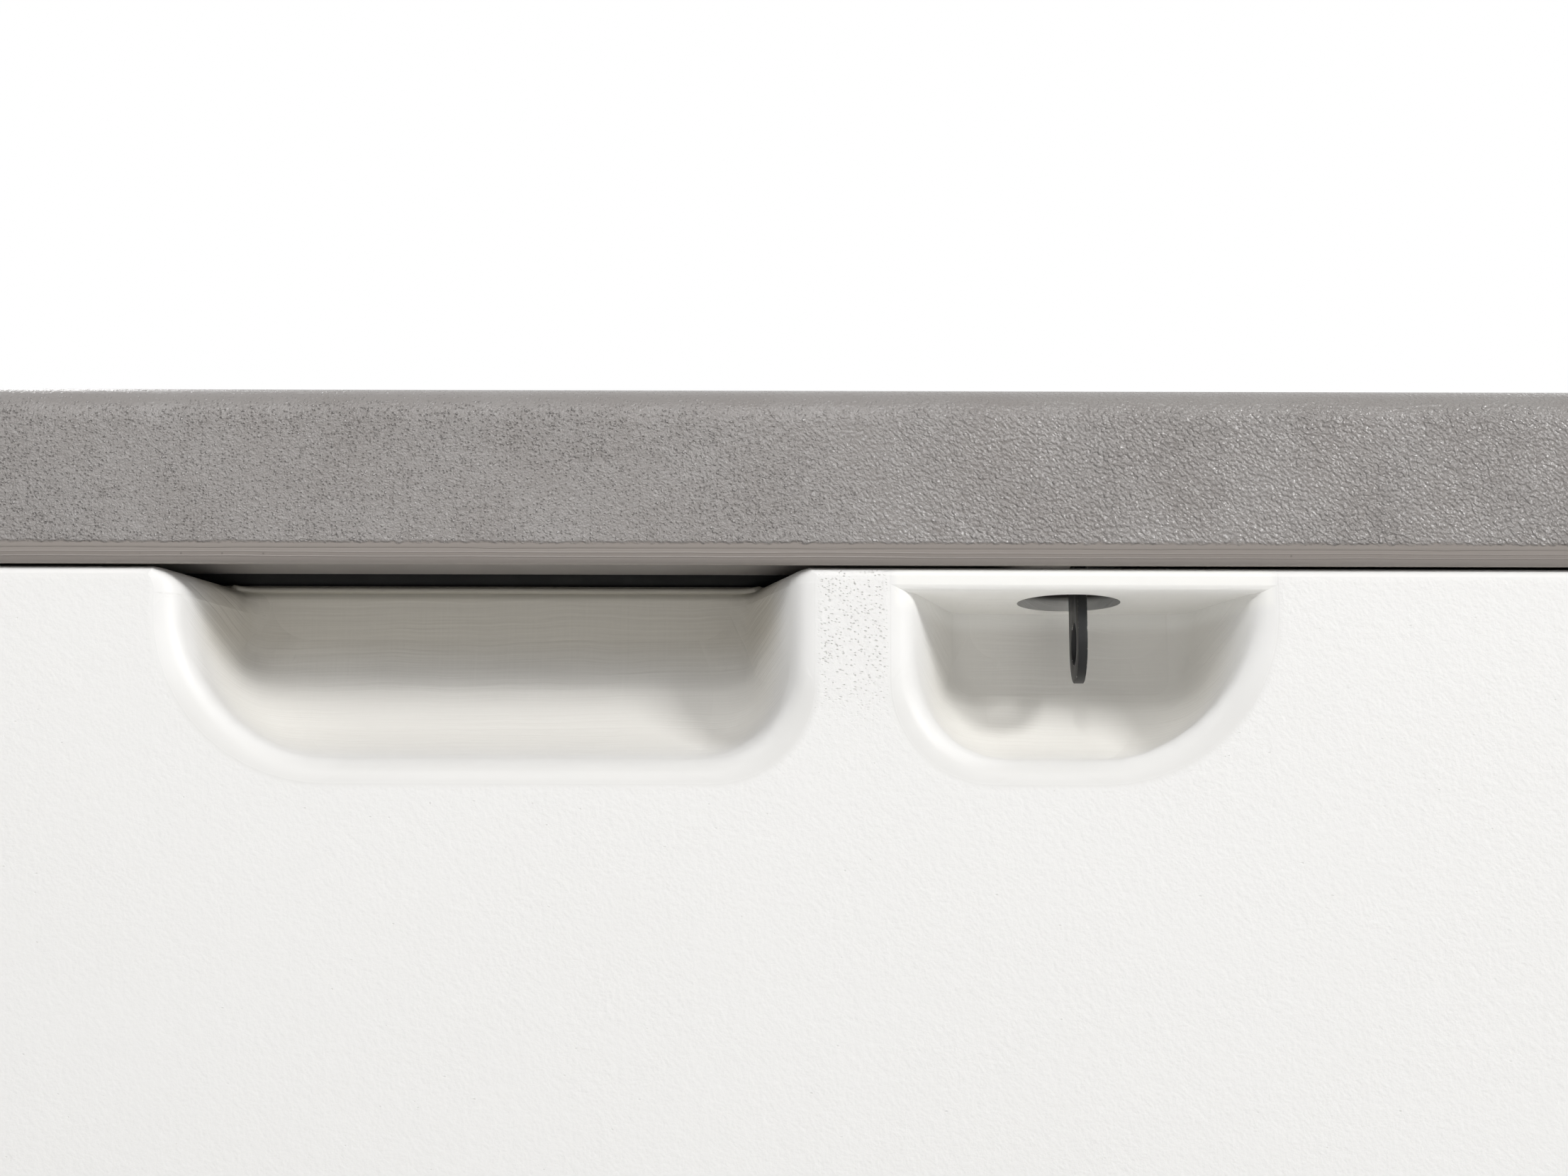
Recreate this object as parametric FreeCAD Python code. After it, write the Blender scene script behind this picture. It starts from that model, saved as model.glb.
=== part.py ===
import FreeCAD, Part
import math
import os

# Outdoor storage box for cushions: a white moulded body and a grey moulded lid on rear hinges,
# with a hand grip and a padlock pocket in the front, a lock-eye on the lid and two gas struts.
# Millimetres. X runs along the box, the front faces -Y, Z is up and the feet stand on Z = 0.
# The origin is under the middle of the whole box, from the lid's front edge to the hinges.

V = FreeCAD.Vector

# Body, measured at the rim
body_length = 1400.0
body_depth = 700.0
rim_height = 560.0
body_wall = 6.0
body_draft = 1.0            # degrees, the walls lean in towards the floor
body_corner_r = 60.0
body_base_r = 24.0
rim_edge_r = 3.0
rim_thickness = 8.0
front_rim_width = 52.0
side_rim_width = 34.0
mouth_corner_r = 28.0
upstand_height = 2.0
upstand_wall = 5.0

# Pockets in the front wall, given by where their rounded edges meet the face
pocket_drop = 70.3
pocket_depth = 46.0
pocket_edge_r = 9.0
pocket_side_draft = 20.0    # degrees
pocket_back_corner_r = 8.0
pocket_stations = (0.0, 0.012, 0.05, 0.11, 0.2, 0.35, 0.52, 0.7, 0.826, 0.91, 0.974, 1.0)
grip_shoulders = (9.0, 5.5)  # radii at left and right, where the grip's open top rounds over into the rim
shoulder_sweep = 75.0       # degrees
grip_open_top = 2.0
ceiling_edge_r = 2.2        # front edge of the rim over the padlock pocket
grip_left = -180.4
divider_left = 32.1
divider_width = 24.2
lock_pocket_right = 180.5
grip_scoop_r = 44.0
lock_scoop_r = 38.0
outer_corner = (57.0, 13.0)  # corner radius at the face and at the back
inner_corner = (33.0, 10.0)

# Lid
lid_gap = 4.7
lid_edge_height = 55.3
lid_crown = 9.0
lid_overhang = 3.0
lid_wall = 5.0
lid_top_r = 13.0
lid_lip_r = 1.0
lid_flange_cover = 23.6     # how far the lid's flat underside reaches in past the body's faces
lid_front_cover = 39.0      # the same at the front
lid_step = 14.0
vent_r = 5.0
vent_from_middle = 60.0
vent_plug_head_r = 9.0
vent_plug_head = 2.4

# Seal in the lid
seal_width = 13.0
seal_outside_mouth = 10.0
seal_clearance = 0.3
seal_crown = 1.5

# Lock-eye and its hole in the rim
eye_x = 119.0
eye_thickness = 3.0
eye_width = 26.0
eye_depth = 23.0            # from the front face to the middle of the plate
eye_drop = 34.3
eye_hole_r = 7.1
eye_hole_above_tip = 13.0
eye_foot_length = 44.0
eye_foot_width = 18.0       # the foot keeps to the back of the plate, out of sight
eye_shoulder_gap = 4.2
eye_bend_r = 3.0
rim_hole_r = 17.0
rim_hole_x = 116.0
eye_pad_margin = 12.0
eye_pad_height = 22.0
eye_screw_r = 2.5
eye_screw_head_r = 4.6
eye_screw_length = 16.0
eye_screw_shares = (0.42, 0.78)

# Hinges
hinge_end_inset = 250.0     # from the body's end to the middle of the last hinge
hinge_count = 3
hinge_length = 80.0
leaf_thickness = 2.5
leaf_height = 38.0
leaf_corner_r = 5.0
leaf_screw_height = 24.0
leaf_screw_pitch = 27.0
leaf_screws = 3
knuckle_r = 5.5
knuckle_count = 5
knuckle_gap = 0.4
hinge_stand_off = 0.5
pin_r = 3.0
pin_head_r = 4.4
pin_head_height = 1.6
hinge_pad_margin = 8.0
hinge_pad_thickness = 10.0
backing_thickness = 2.0
backing_gap = 2.0
bolt_r = 2.5
bolt_head_r = 4.8
bolt_head_height = 2.8
bolt_past_nut = 1.5
nut_height = 4.0
nut_across = 8.0
lid_screw_length = 16.0
screw_crown_share = 0.45     # part of a screw head's height that is bevelled

# Fits
screw_clearance = 0.15
bore_clearance = 0.1
running_clearance = 0.15

# Gas struts: both ball studs are the same distance from the hinge axis
strut_closed = 300.0
strut_open = 500.0
lid_opening = 75.0
upper_stud_drop = 3.0       # degrees below the hinge axis
strut_inset = 30.0          # from the mouth's side to the strut's axis
tube_r = 9.0
tube_wall = 1.5
tube_cap = 6.0
rod_r = 4.0
rod_tail = 1.5
rod_shown_closed = 1.5
piston_height = 10.0
piston_from_cap = 6.0
guide_length = 16.0
guide_lip = 3.0
socket_r = 7.5
socket_length = 14.0
socket_bevel = 1.0
socket_neck_r = 4.6
socket_neck = 18.0          # from the ball's centre to the neck's end
ball_r = 5.0
ball_clearance = 0.25
stud_r = 3.0
stud_mouth_r = 4.6
stud_length = 14.0
stud_collar_r = 5.0
stud_collar = 3.0

# Brackets of the struts
bracket_thickness = 3.0
bracket_width = 40.0
bracket_foot = 36.0
bracket_bend_r = 3.0
bracket_tail = 12.0
bracket_height = 78.0
bracket_flange = 17.0
bracket_lean = 5.0
bracket_shift = -14.0       # the body bracket stands forward of its stud, clear of the round corner
bracket_screw_r = 2.5
bracket_screw_head_r = 4.6
bracket_screw_head = 2.6
bracket_screw_pitch = 22.0
bracket_screw_length = 14.0
strut_pad_thickness = 8.0
strut_pad_margin = 4.0

# Feet
foot_r = 26.0
foot_height = 12.0
foot_taper = 4.0
foot_inset = 85.0
foot_bevel = 2.0
foot_counterbore_r = 8.0
foot_counterbore = 6.0
foot_bolt_r = 3.0
foot_bolt_head_r = 5.5
foot_bolt_head = 4.0
foot_nut_across = 10.0
foot_nut_height = 5.0

# Places worked out from the sizes above
hinge_spacing = (body_length - 2 * hinge_end_inset) / (hinge_count - 1)
hinge_reach = hinge_stand_off + 2 * knuckle_r
front = (lid_overhang - hinge_reach - body_depth) / 2
back = front + body_depth
side = body_length / 2
rim = rim_height
base = foot_height
lid_base = rim + lid_gap
lid_skin = lid_base + lid_step
lid_edge_top = lid_base + lid_edge_height
mouth = (-side + side_rim_width, side - side_rim_width, front + front_rim_width, back - side_rim_width)
lock_pocket_left = divider_left + divider_width
bolt_size = (bolt_r, bolt_head_r, bolt_head_height)
bracket_screw_size = (bracket_screw_r, bracket_screw_head_r, bracket_screw_head)
foot_bolt_size = (foot_bolt_r, foot_bolt_head_r, foot_bolt_head)
draft_slope = math.tan(math.radians(body_draft))
eye_y = front + eye_depth
eye_foot_y = eye_y + (eye_width - eye_foot_width) / 2
hinge_y = back + hinge_stand_off + knuckle_r
hinge_z = rim + lid_gap / 2
hinge_places = [(i - (hinge_count - 1) / 2) * hinge_spacing for i in range(hinge_count)]
foot_rows = (front + foot_inset, back - foot_inset)
foot_places = [(s * (side - foot_inset), y) for s in (-1, 1) for y in foot_rows]

# The hinge axis and the two studs make a triangle with two equal sides, so the strut turns half
# as far as the lid and its length follows from the opening alone
half_turn = math.radians(lid_opening / 2)
half_closed = math.atan2(math.sin(half_turn), strut_open / strut_closed - math.cos(half_turn))
stud_radius = strut_closed / (2 * math.sin(half_closed))
strut_x = side - side_rim_width - strut_inset


def stud_at(angle):
    """Ball centre of a right-hand stud, by its angle below the hinge axis."""
    return (strut_x, hinge_y - stud_radius * math.cos(angle), hinge_z - stud_radius * math.sin(angle))


upper_stud = stud_at(math.radians(upper_stud_drop))
lower_stud = stud_at(math.radians(upper_stud_drop) + 2 * half_closed)
bracket_face = strut_x + stud_length
strut_pad_face = side - body_wall - (rim - lower_stud[2]) * draft_slope - strut_pad_thickness
tube_end = strut_closed - socket_neck - guide_lip - rod_shown_closed
piston_start = socket_neck + tube_cap + piston_from_cap


def rounded_outline(x0, x1, y0, y1, z, r):
    """Closed wire of a rectangle with round corners, level at height z."""
    k = r - r * math.sqrt(0.5)
    corners = (
        (x1, y0, (x1 - r, y0), (x1 - k, y0 + k), (x1, y0 + r)),
        (x1, y1, (x1, y1 - r), (x1 - k, y1 - k), (x1 - r, y1)),
        (x0, y1, (x0 + r, y1), (x0 + k, y1 - k), (x0, y1 - r)),
        (x0, y0, (x0, y0 + r), (x0 + k, y0 + k), (x0 + r, y0)),
    )
    edges = []
    last = V(x0 + r, y0, z)
    for _, _, start, middle, end in corners:
        edges.append(Part.LineSegment(last, V(*start, z)).toShape())
        edges.append(Part.Arc(V(*start, z), V(*middle, z), V(*end, z)).toShape())
        last = V(*end, z)
    return Part.Wire(edges)


def rounded_block(x0, x1, y0, y1, z0, z1, r):
    return Part.Face(rounded_outline(x0, x1, y0, y1, z0, r)).extrude(V(0, 0, z1 - z0))


def drafted_block(inset, z0, z1, r):
    """Block that follows the body's leaning walls, inset from their outer faces."""
    wires = []
    for z in (z0, z1):
        lean = inset + (rim - z) * draft_slope
        wires.append(rounded_outline(-side + lean, side - lean, front + lean, back - lean, z, r))
    return Part.makeLoft(wires, True, True)


def box(x0, x1, y0, y1, z0, z1):
    return Part.makeBox(x1 - x0, y1 - y0, z1 - z0, V(x0, y0, z0))


def cylinder(r, length, start, axis):
    return Part.makeCylinder(r, length, V(*start), V(*axis))


def bored(point, r, length, axis):
    """Hole for a screw of radius r that starts at point."""
    return Part.makeCylinder(r + screw_clearance, length, point, V(*axis))


def edges_at_height(shape, z):
    """Edges that lie wholly at one height."""
    found = []
    for edge in shape.Edges:
        b = edge.BoundBox
        if abs(b.ZMin - z) < 0.01 and abs(b.ZMax - z) < 0.01:
            found.append(edge)
    return found


def fillet(shape, edges, r):
    return shape.makeFillet(r, edges) if edges else shape


def write(name, shape):
    shape.exportStep("parts/" + name + ".step")
    kind = "valid" if shape.isValid() else "INVALID"
    print(name, len(shape.Solids), "solids", round(shape.Volume / 1000, 2), "cm3", kind)


def merge(shapes):
    """Separate solids of one node, side by side."""
    return Part.makeCompound(shapes)


# Screws, bolts and nuts
def pan_screw(point, axis, length, size):
    """Screw whose head sits on point, with the shank running along axis; size is (r, head r, head height)."""
    a = V(*axis)
    r, head_r, head_height = size
    bevel = head_height * screw_crown_share
    flat = Part.makeCylinder(head_r, head_height - bevel, point, a * -1)
    crown = Part.makeCone(head_r, head_r - bevel, bevel, point - a * (head_height - bevel), a * -1)
    return Part.makeCylinder(r, length, point, a).fuse([flat, crown]).removeSplitter()


def flush_screw(point, axis, r, length, head_r):
    """Countersunk screw whose head is level with point."""
    a = V(*axis)
    cone = Part.makeCone(head_r, r, head_r - r, point, a)
    return cone.fuse(Part.makeCylinder(r, length, point, a)).removeSplitter()


def hex_nut(point, axis, across, height, bore):
    """Six-sided nut that starts at point and runs along axis."""
    r = across / math.sqrt(3)
    corners = [V(r * math.cos(math.radians(60 * i)), r * math.sin(math.radians(60 * i)), 0) for i in range(7)]
    nut = Part.Face(Part.makePolygon(corners)).extrude(V(0, 0, height))
    nut = nut.cut(Part.makeCylinder(bore, height))
    nut.Placement = FreeCAD.Placement(point, FreeCAD.Rotation(V(0, 0, 1), V(*axis)))
    return nut


# Front pockets
def pocket_inset(d):
    """How far a pocket's side wall stands in from its edge at a depth d behind the face."""
    draft = math.radians(pocket_side_draft)
    edge = pocket_edge_r
    corner = pocket_back_corner_r
    lip_depth = edge * (1 - math.sin(draft))
    lip_inset = edge * math.cos(draft)
    centre = pocket_depth - corner
    centre_inset = lip_inset + (centre - lip_depth) * math.tan(draft) + corner / math.cos(draft)
    if d <= lip_depth:
        return math.sqrt(edge ** 2 - (edge - d) ** 2)
    if d <= centre + corner * math.sin(draft):
        return lip_inset + (d - lip_depth) * math.tan(draft)
    return centre_inset - math.sqrt(corner ** 2 - (d - centre) ** 2)


def pocket_floor(d, scoop):
    """How far a pocket's floor has risen from its edge at a depth d behind the face."""
    edge = pocket_edge_r
    lip = edge if d >= edge else math.sqrt(edge ** 2 - (edge - d) ** 2)
    start = pocket_depth - scoop
    rise = 0.0 if d <= start else scoop - math.sqrt(scoop ** 2 - (d - start) ** 2)
    return lip + rise


def bevel_rise(d, r):
    """Height left of a rounded edge of radius r at a depth d behind the face."""
    return 0.0 if d >= r else r - math.sqrt(r ** 2 - (r - d) ** 2)


def closed_wire(runs):
    """Wire of lines and arcs, each given by its two or three points in turn."""
    return Part.Wire([(Part.Arc if len(run) == 3 else Part.LineSegment)(*run).toShape() for run in runs])


def shoulder_points(x, turn, y, top, r):
    """Points from the form's top down a rounded shoulder to the side wall; it crosses the rim cleanly."""
    sweep = math.radians(shoulder_sweep)
    arc = [V(x + turn * r * (1 - math.cos(a)), y, rim - r + r * math.sin(a)) for a in (sweep, sweep / 2, 0.0)]
    reach = (top - arc[0].z) * math.tan(sweep)
    return [V(arc[0].x + turn * reach, y, top)] + arc


def pocket_form(left, right, top, left_r, right_r, scoop, skin=0.0, shoulders=None, ceiling_r=0.0):
    """Solid of a pocket's hollow, or of its outside where the hollow has a skin around it.

    left_r and right_r are the lower corner radii at the face and at the back, shoulders round the
    sides over into the rim and ceiling_r rounds the front edge of a closed top."""
    wires = []
    for share in pocket_stations:
        d = share * pocket_depth
        inset = pocket_inset(d)
        x0 = left + inset - skin
        x1 = right - inset + skin
        z0 = rim - pocket_drop + pocket_floor(d, scoop) - skin
        ra = left_r[0] + (left_r[1] - left_r[0]) * share + skin
        rb = right_r[0] + (right_r[1] - right_r[0]) * share + skin
        ka = ra - ra * math.sqrt(0.5)
        kb = rb - rb * math.sqrt(0.5)
        y = front + share * (pocket_depth + skin)
        low = [V(x0, y, z0 + ra), V(x0 + ka, y, z0 + ka), V(x0 + ra, y, z0),
               V(x1 - rb, y, z0), V(x1 - kb, y, z0 + kb), V(x1, y, z0 + rb)]
        runs = [low[:3], low[2:4], low[3:]]
        if shoulders:
            a = shoulder_points(x0, -1, y, top, shoulders[0])
            b = shoulder_points(x1, 1, y, top, shoulders[1])
            runs = [a[:2], a[1:], (a[3], low[0])] + runs
            runs += [(low[5], b[3]), b[:0:-1], (b[1], b[0]), (b[0], a[0])]
        else:
            z = top + bevel_rise(d, ceiling_r)
            a = V(x0, y, z)
            b = V(x1, y, z)
            runs = [(a, low[0])] + runs + [(low[5], b), (b, a)]
        wires.append(closed_wire(runs))
    form = Part.makeLoft(wires, True, False)
    form.rotate(V(0, front, rim), V(1, 0, 0), body_draft)
    return form


def grip_form(skin=0.0):
    top = rim - rim_thickness / 2 if skin else rim + grip_open_top
    shoulders = None if skin else grip_shoulders
    return pocket_form(grip_left, divider_left, top, outer_corner, inner_corner, grip_scoop_r, skin, shoulders)


def lock_form(skin=0.0):
    top = rim - rim_thickness / 2 if skin else rim - rim_thickness
    r = 0.0 if skin else ceiling_edge_r
    left = lock_pocket_left
    right = lock_pocket_right
    return pocket_form(left, right, top, inner_corner, outer_corner, lock_scoop_r, skin, ceiling_r=r)


# Body
def body_shell():
    outer = drafted_block(0.0, base, rim, body_corner_r)
    outer = fillet(outer, edges_at_height(outer, base), body_base_r)
    outer = fillet(outer, edges_at_height(outer, rim), rim_edge_r)
    hollow = drafted_block(body_wall, base + body_wall, rim - rim_thickness, body_corner_r - body_wall)
    hollow = fillet(hollow, edges_at_height(hollow, base + body_wall), body_base_r - body_wall)
    x0, x1, y0, y1 = mouth
    w = upstand_wall
    upstand = rounded_block(x0 - w, x1 + w, y0 - w, y1 + w, rim - w, rim + upstand_height, mouth_corner_r + w)
    opening = rounded_block(x0, x1, y0, y1, rim - 2 * rim_thickness, rim + 2 * upstand_height, mouth_corner_r)
    shell = outer.cut(hollow).fuse([upstand, grip_form(body_wall), lock_form(body_wall)])
    shell = shell.fuse([hinge_pad(x) for x in hinge_places] + [strut_pad(s) for s in (-1, 1)])
    cuts = [opening, grip_form(), lock_form()]
    low = rim - 1.5 * rim_thickness
    cuts.append(cylinder(rim_hole_r, 2 * rim_thickness, (rim_hole_x, eye_y, low), (0, 0, 1)))
    for x in hinge_places:
        for point in leaf_holes(x, -1):
            start = point + V(0, bolt_head_height, 0)
            cuts.append(bored(start, bolt_r, 2 * hinge_pad_thickness, (0, -1, 0)))
    for x, y in foot_places:
        cuts.append(bored(V(x, y, base - body_wall / 2), foot_bolt_r, 2 * body_wall, (0, 0, 1)))
    for s in (-1, 1):
        for point in body_bracket_holes(s):
            cuts.append(bored(point, bracket_screw_r, bracket_screw_length, (s, 0, 0)))
    return shell.cut(cuts).removeSplitter()


def hinge_pad(x):
    """Block in the back wall with upright faces for a hinge leaf outside and its plate inside."""
    half = hinge_length / 2 + hinge_pad_margin
    low = hinge_z - leaf_height - hinge_pad_margin
    return box(x - half, x + half, back - hinge_pad_thickness, back, low, rim - rim_edge_r)


def strut_pad(s):
    """Boss inside an end wall that carries a strut bracket."""
    _, y, z = lower_stud
    wall = side - body_wall / 2 - (rim - z) * draft_slope - bracket_height * draft_slope
    y += bracket_shift
    half = bracket_width / 2 + strut_pad_margin
    tall = bracket_height / 2 + strut_pad_margin
    pad = box(strut_pad_face, wall, y - half, y + half, z - tall, z + tall)
    upright = [e for e in pad.Edges if e.BoundBox.YLength < 0.01 and e.BoundBox.ZLength < 0.01]
    pad = pad.makeFillet(strut_pad_margin, upright)
    return pad if s > 0 else pad.mirror(V(0, 0, 0), V(1, 0, 0))


# Lid
def crowned_block(inset, bottom, r):
    """Block with the lid's outline and crowned top, inset from the lid's outer faces."""
    x1 = side + lid_overhang - inset
    y0 = front - lid_overhang + inset
    y1 = back - inset
    half = (back - front + lid_overhang) / 2
    crown_r = (half ** 2 + lid_crown ** 2) / (2 * lid_crown)
    top = lid_edge_top + lid_crown
    block = rounded_block(-x1, x1, y0, y1, bottom, top + 1, r)
    middle = (front - lid_overhang + back) / 2
    barrel = cylinder(crown_r - inset, 2 * x1 + 2, (-x1 - 1, middle, top - crown_r), (1, 0, 0))
    block = block.common(barrel)
    upper = [e for e in block.Edges if e.BoundBox.ZMin > lid_edge_top - 2 * inset - 1]
    return block.makeFillet(lid_top_r - inset, upper)


def lid_shell():
    c = lid_flange_cover
    inner = (-side + c, side - c, front + lid_front_cover, back - c)
    inner_r = body_corner_r - c
    lid = crowned_block(0.0, lid_base, body_corner_r + lid_overhang)
    lid = fillet(lid, edges_at_height(lid, lid_base), lid_lip_r)
    lid = lid.cut(rounded_block(*inner, lid_base - 1, lid_skin, inner_r))
    lid = lid.fuse(eye_pad(lid_base, lid_skin + lid_wall))

    w = lid_wall
    grown = (inner[0] - w, inner[1] + w, inner[2] - w, inner[3] + w)
    void = crowned_block(w, lid_base + w, body_corner_r + lid_overhang - w)
    void = void.cut(rounded_block(*grown, lid_base, lid_skin + w, inner_r + w))
    blocks = [eye_pad(lid_base, lid_base + eye_pad_height)]
    for x in hinge_places:
        half = hinge_length / 2 + hinge_pad_margin
        top = hinge_z + leaf_height + lid_wall
        blocks.append(box(x - half, x + half, back - lid_screw_length - lid_wall, back, lid_base, top))
    for s in (-1, 1):
        x, y, z = upper_stud
        far = bracket_face + bracket_thickness
        near = far - bracket_foot
        x0, x1 = sorted((s * (near - lid_wall), s * (far + lid_wall)))
        half = bracket_width / 2 + lid_wall
        blocks.append(box(x0, x1, y - half, y + half, lid_base, lid_skin + bracket_screw_length))
    lid = lid.cut(void.cut(blocks))

    cuts = [eye_recess()]
    cuts.append(cylinder(vent_r, 3 * w, (vent_from_middle, 0.0, lid_skin - w), (0, 0, 1)))
    for point in eye_screw_points():
        cuts.append(bored(point, eye_screw_r, eye_screw_length, (0, 0, 1)))
    for x in hinge_places:
        for point in leaf_holes(x, 1):
            cuts.append(bored(point, bolt_r, lid_screw_length, (0, -1, 0)))
    for s in (-1, 1):
        for point in lid_bracket_holes(s):
            cuts.append(bored(point, bracket_screw_r, bracket_screw_length, (0, 0, 1)))
    return lid.cut(cuts).removeSplitter()


def vent_plug():
    head = Part.makeCone(vent_plug_head_r - vent_plug_head / 2, vent_plug_head_r, vent_plug_head,
                         V(vent_from_middle, 0, lid_skin - vent_plug_head))
    length = lid_wall + vent_plug_head
    stem = cylinder(vent_r - bore_clearance, length, (vent_from_middle, 0.0, lid_skin), (0, 0, 1))
    return head.fuse(stem).removeSplitter()


def lid_seal():
    x0, x1, y0, y1 = mouth
    a = seal_outside_mouth
    b = seal_width - a
    low = rim + upstand_height + seal_clearance
    ring = rounded_block(x0 - a, x1 + a, y0 - a, y1 + a, low, lid_skin, mouth_corner_r + a)
    ring = ring.cut(rounded_block(x0 + b, x1 - b, y0 + b, y1 - b, low - 1, lid_skin + 1, mouth_corner_r - b))
    return ring.makeFillet(seal_width / 2 - seal_crown, edges_at_height(ring, low))


# Lock-eye
def eye_pad(z0, z1):
    """Part of the lid that carries the lock-eye's foot."""
    m = eye_pad_margin
    x0 = eye_x - eye_thickness / 2 - m
    x1 = x0 + eye_foot_length + 2 * m
    return box(x0, x1, front + lid_lip_r, front + lid_front_cover, z0, z1)


def eye_recess():
    gap = 4 * screw_clearance
    x0 = eye_x - eye_thickness / 2 - gap
    x1 = x0 + eye_foot_length + 2 * gap
    half = eye_foot_width / 2 + gap
    top = lid_base + eye_thickness + screw_clearance
    return box(x0, x1, eye_foot_y - half, eye_foot_y + half, lid_base - 1, top)


def eye_screw_points():
    x0 = eye_x - eye_thickness / 2
    return [V(x0 + eye_foot_length * share, eye_foot_y, lid_base) for share in eye_screw_shares]


def lock_eye():
    half = eye_width / 2
    tip = rim - eye_drop
    x0 = eye_x - eye_thickness / 2
    top = lid_base + eye_thickness
    neck = eye_y + half - eye_foot_width
    shoulder = lid_base - eye_shoulder_gap
    near = eye_y - half
    far = eye_y + half
    outline = [V(x0, far, tip + half), V(x0, far, top), V(x0, neck, top),
               V(x0, neck, shoulder), V(x0, near, shoulder), V(x0, near, tip + half)]
    edges = [Part.LineSegment(a, b).toShape() for a, b in zip(outline, outline[1:])]
    edges.append(Part.Arc(outline[-1], V(x0, eye_y, tip), outline[0]).toShape())
    tab = Part.Face(Part.Wire(edges)).extrude(V(eye_thickness, 0, 0))
    centre = (x0 - eye_thickness, eye_y, tip + eye_hole_above_tip)
    hole = cylinder(eye_hole_r, 3 * eye_thickness, centre, (1, 0, 0))
    foot = box(x0, x0 + eye_foot_length, neck, far, lid_base, top)
    eye = tab.fuse(foot).removeSplitter()
    inside = [e for e in eye.Edges if lies_at(e, x0 + eye_thickness, lid_base)]
    outside = [e for e in eye.Edges if lies_at(e, x0, top)]
    eye = eye.makeFillet(eye_bend_r, inside).makeFillet(eye_bend_r - screw_clearance, outside)
    cuts = [hole]
    for point in eye_screw_points():
        sink = eye_screw_head_r - eye_screw_r
        wide = eye_screw_head_r + screw_clearance
        narrow = eye_screw_r + screw_clearance
        cuts.append(Part.makeCone(wide, narrow, sink, point, V(0, 0, 1)))
        cuts.append(Part.makeCylinder(narrow, 2 * eye_thickness, point, V(0, 0, 1)))
    return eye.cut(cuts).removeSplitter()


def lies_at(edge, x, z):
    """True for a straight edge along the depth at one x and z."""
    b = edge.BoundBox
    return abs(b.Center.x - x) < 0.01 and abs(b.Center.z - z) < 0.01 and b.XLength < 0.01 and b.ZLength < 0.01


# Hinges
def leaf_holes(x, up):
    """Where the screws of a leaf meet its outer face; up is -1 on the body and 1 on the lid."""
    first = -(leaf_screws - 1) / 2
    z = hinge_z + up * leaf_screw_height
    return [V(x + (first + i) * leaf_screw_pitch, back + leaf_thickness, z) for i in range(leaf_screws)]


def hinge_leaf(x, up):
    x0 = x - hinge_length / 2
    far = hinge_z + up * leaf_height
    plate = box(x0, x0 + hinge_length, back, back + leaf_thickness, min(hinge_z, far), max(hinge_z, far))
    outer = [e for e in plate.Edges if e.BoundBox.XLength < 0.01 and e.BoundBox.ZLength < 0.01 and
             abs(e.BoundBox.Center.z - far) < 0.01]
    plate = plate.makeFillet(leaf_corner_r, outer)
    pitch = hinge_length / knuckle_count
    own = []
    clear = []
    for i in range(knuckle_count):
        start = x0 + i * pitch
        if (i % 2 == 0) == (up < 0):
            own.append(cylinder(knuckle_r, pitch, (start, hinge_y, hinge_z), (1, 0, 0)))
        else:
            reach = hinge_z + up * (knuckle_r + knuckle_gap)
            past = hinge_z - up * knuckle_r
            clear.append(box(start - knuckle_gap, start + pitch + knuckle_gap, back - 1,
                             back + 3 * knuckle_r, min(reach, past), max(reach, past)))
    leaf = plate.fuse(own).cut(clear)
    start = (x - hinge_length, hinge_y, hinge_z)
    cuts = [cylinder(pin_r + bore_clearance, 2 * hinge_length, start, (1, 0, 0))]
    for point in leaf_holes(x, up):
        cuts.append(bored(point + V(0, leaf_thickness, 0), bolt_r, 3 * leaf_thickness, (0, -1, 0)))
    return leaf.cut(cuts).removeSplitter()


def hinge_pin(x):
    half = hinge_length / 2
    pin = cylinder(pin_r, hinge_length, (x - half, hinge_y, hinge_z), (1, 0, 0))
    heads = [cylinder(pin_head_r, pin_head_height, (x + half, hinge_y, hinge_z), (1, 0, 0)),
             cylinder(pin_head_r, pin_head_height, (x - half, hinge_y, hinge_z), (-1, 0, 0))]
    return pin.fuse(heads).removeSplitter()


def backing_plate(x):
    half = hinge_length / 2
    y1 = back - hinge_pad_thickness
    top = rim - rim_thickness - backing_gap
    plate = box(x - half, x + half, y1 - backing_thickness, y1, hinge_z - leaf_height, top)
    corners = [e for e in plate.Edges if e.BoundBox.XLength < 0.01 and e.BoundBox.ZLength < 0.01]
    plate = plate.makeFillet(leaf_corner_r, corners)
    holes = [bored(p, bolt_r, 3 * hinge_pad_thickness, (0, -1, 0)) for p in leaf_holes(x, -1)]
    return plate.cut(holes)


# Gas struts, made along their own axis from the lid's ball stud and then laid in place
def stroke_frame(s):
    """Placement that takes a strut's own axis, which is Z, from the upper stud to the lower one."""
    x, y, z = upper_stud
    angle = math.degrees(math.atan2(lower_stud[2] - z, lower_stud[1] - y))
    turn = FreeCAD.Rotation(V(1, 0, 0), angle - 90)
    return FreeCAD.Placement(V(s * x, y, z), turn)


def placed(shape, s):
    """Copy of a strut piece in place; the pieces are made with the bracket side towards +X."""
    if s < 0:
        shape = shape.mirror(V(0, 0, 0), V(1, 0, 0))
    shape.Placement = stroke_frame(s).multiply(shape.Placement)
    return shape


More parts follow.
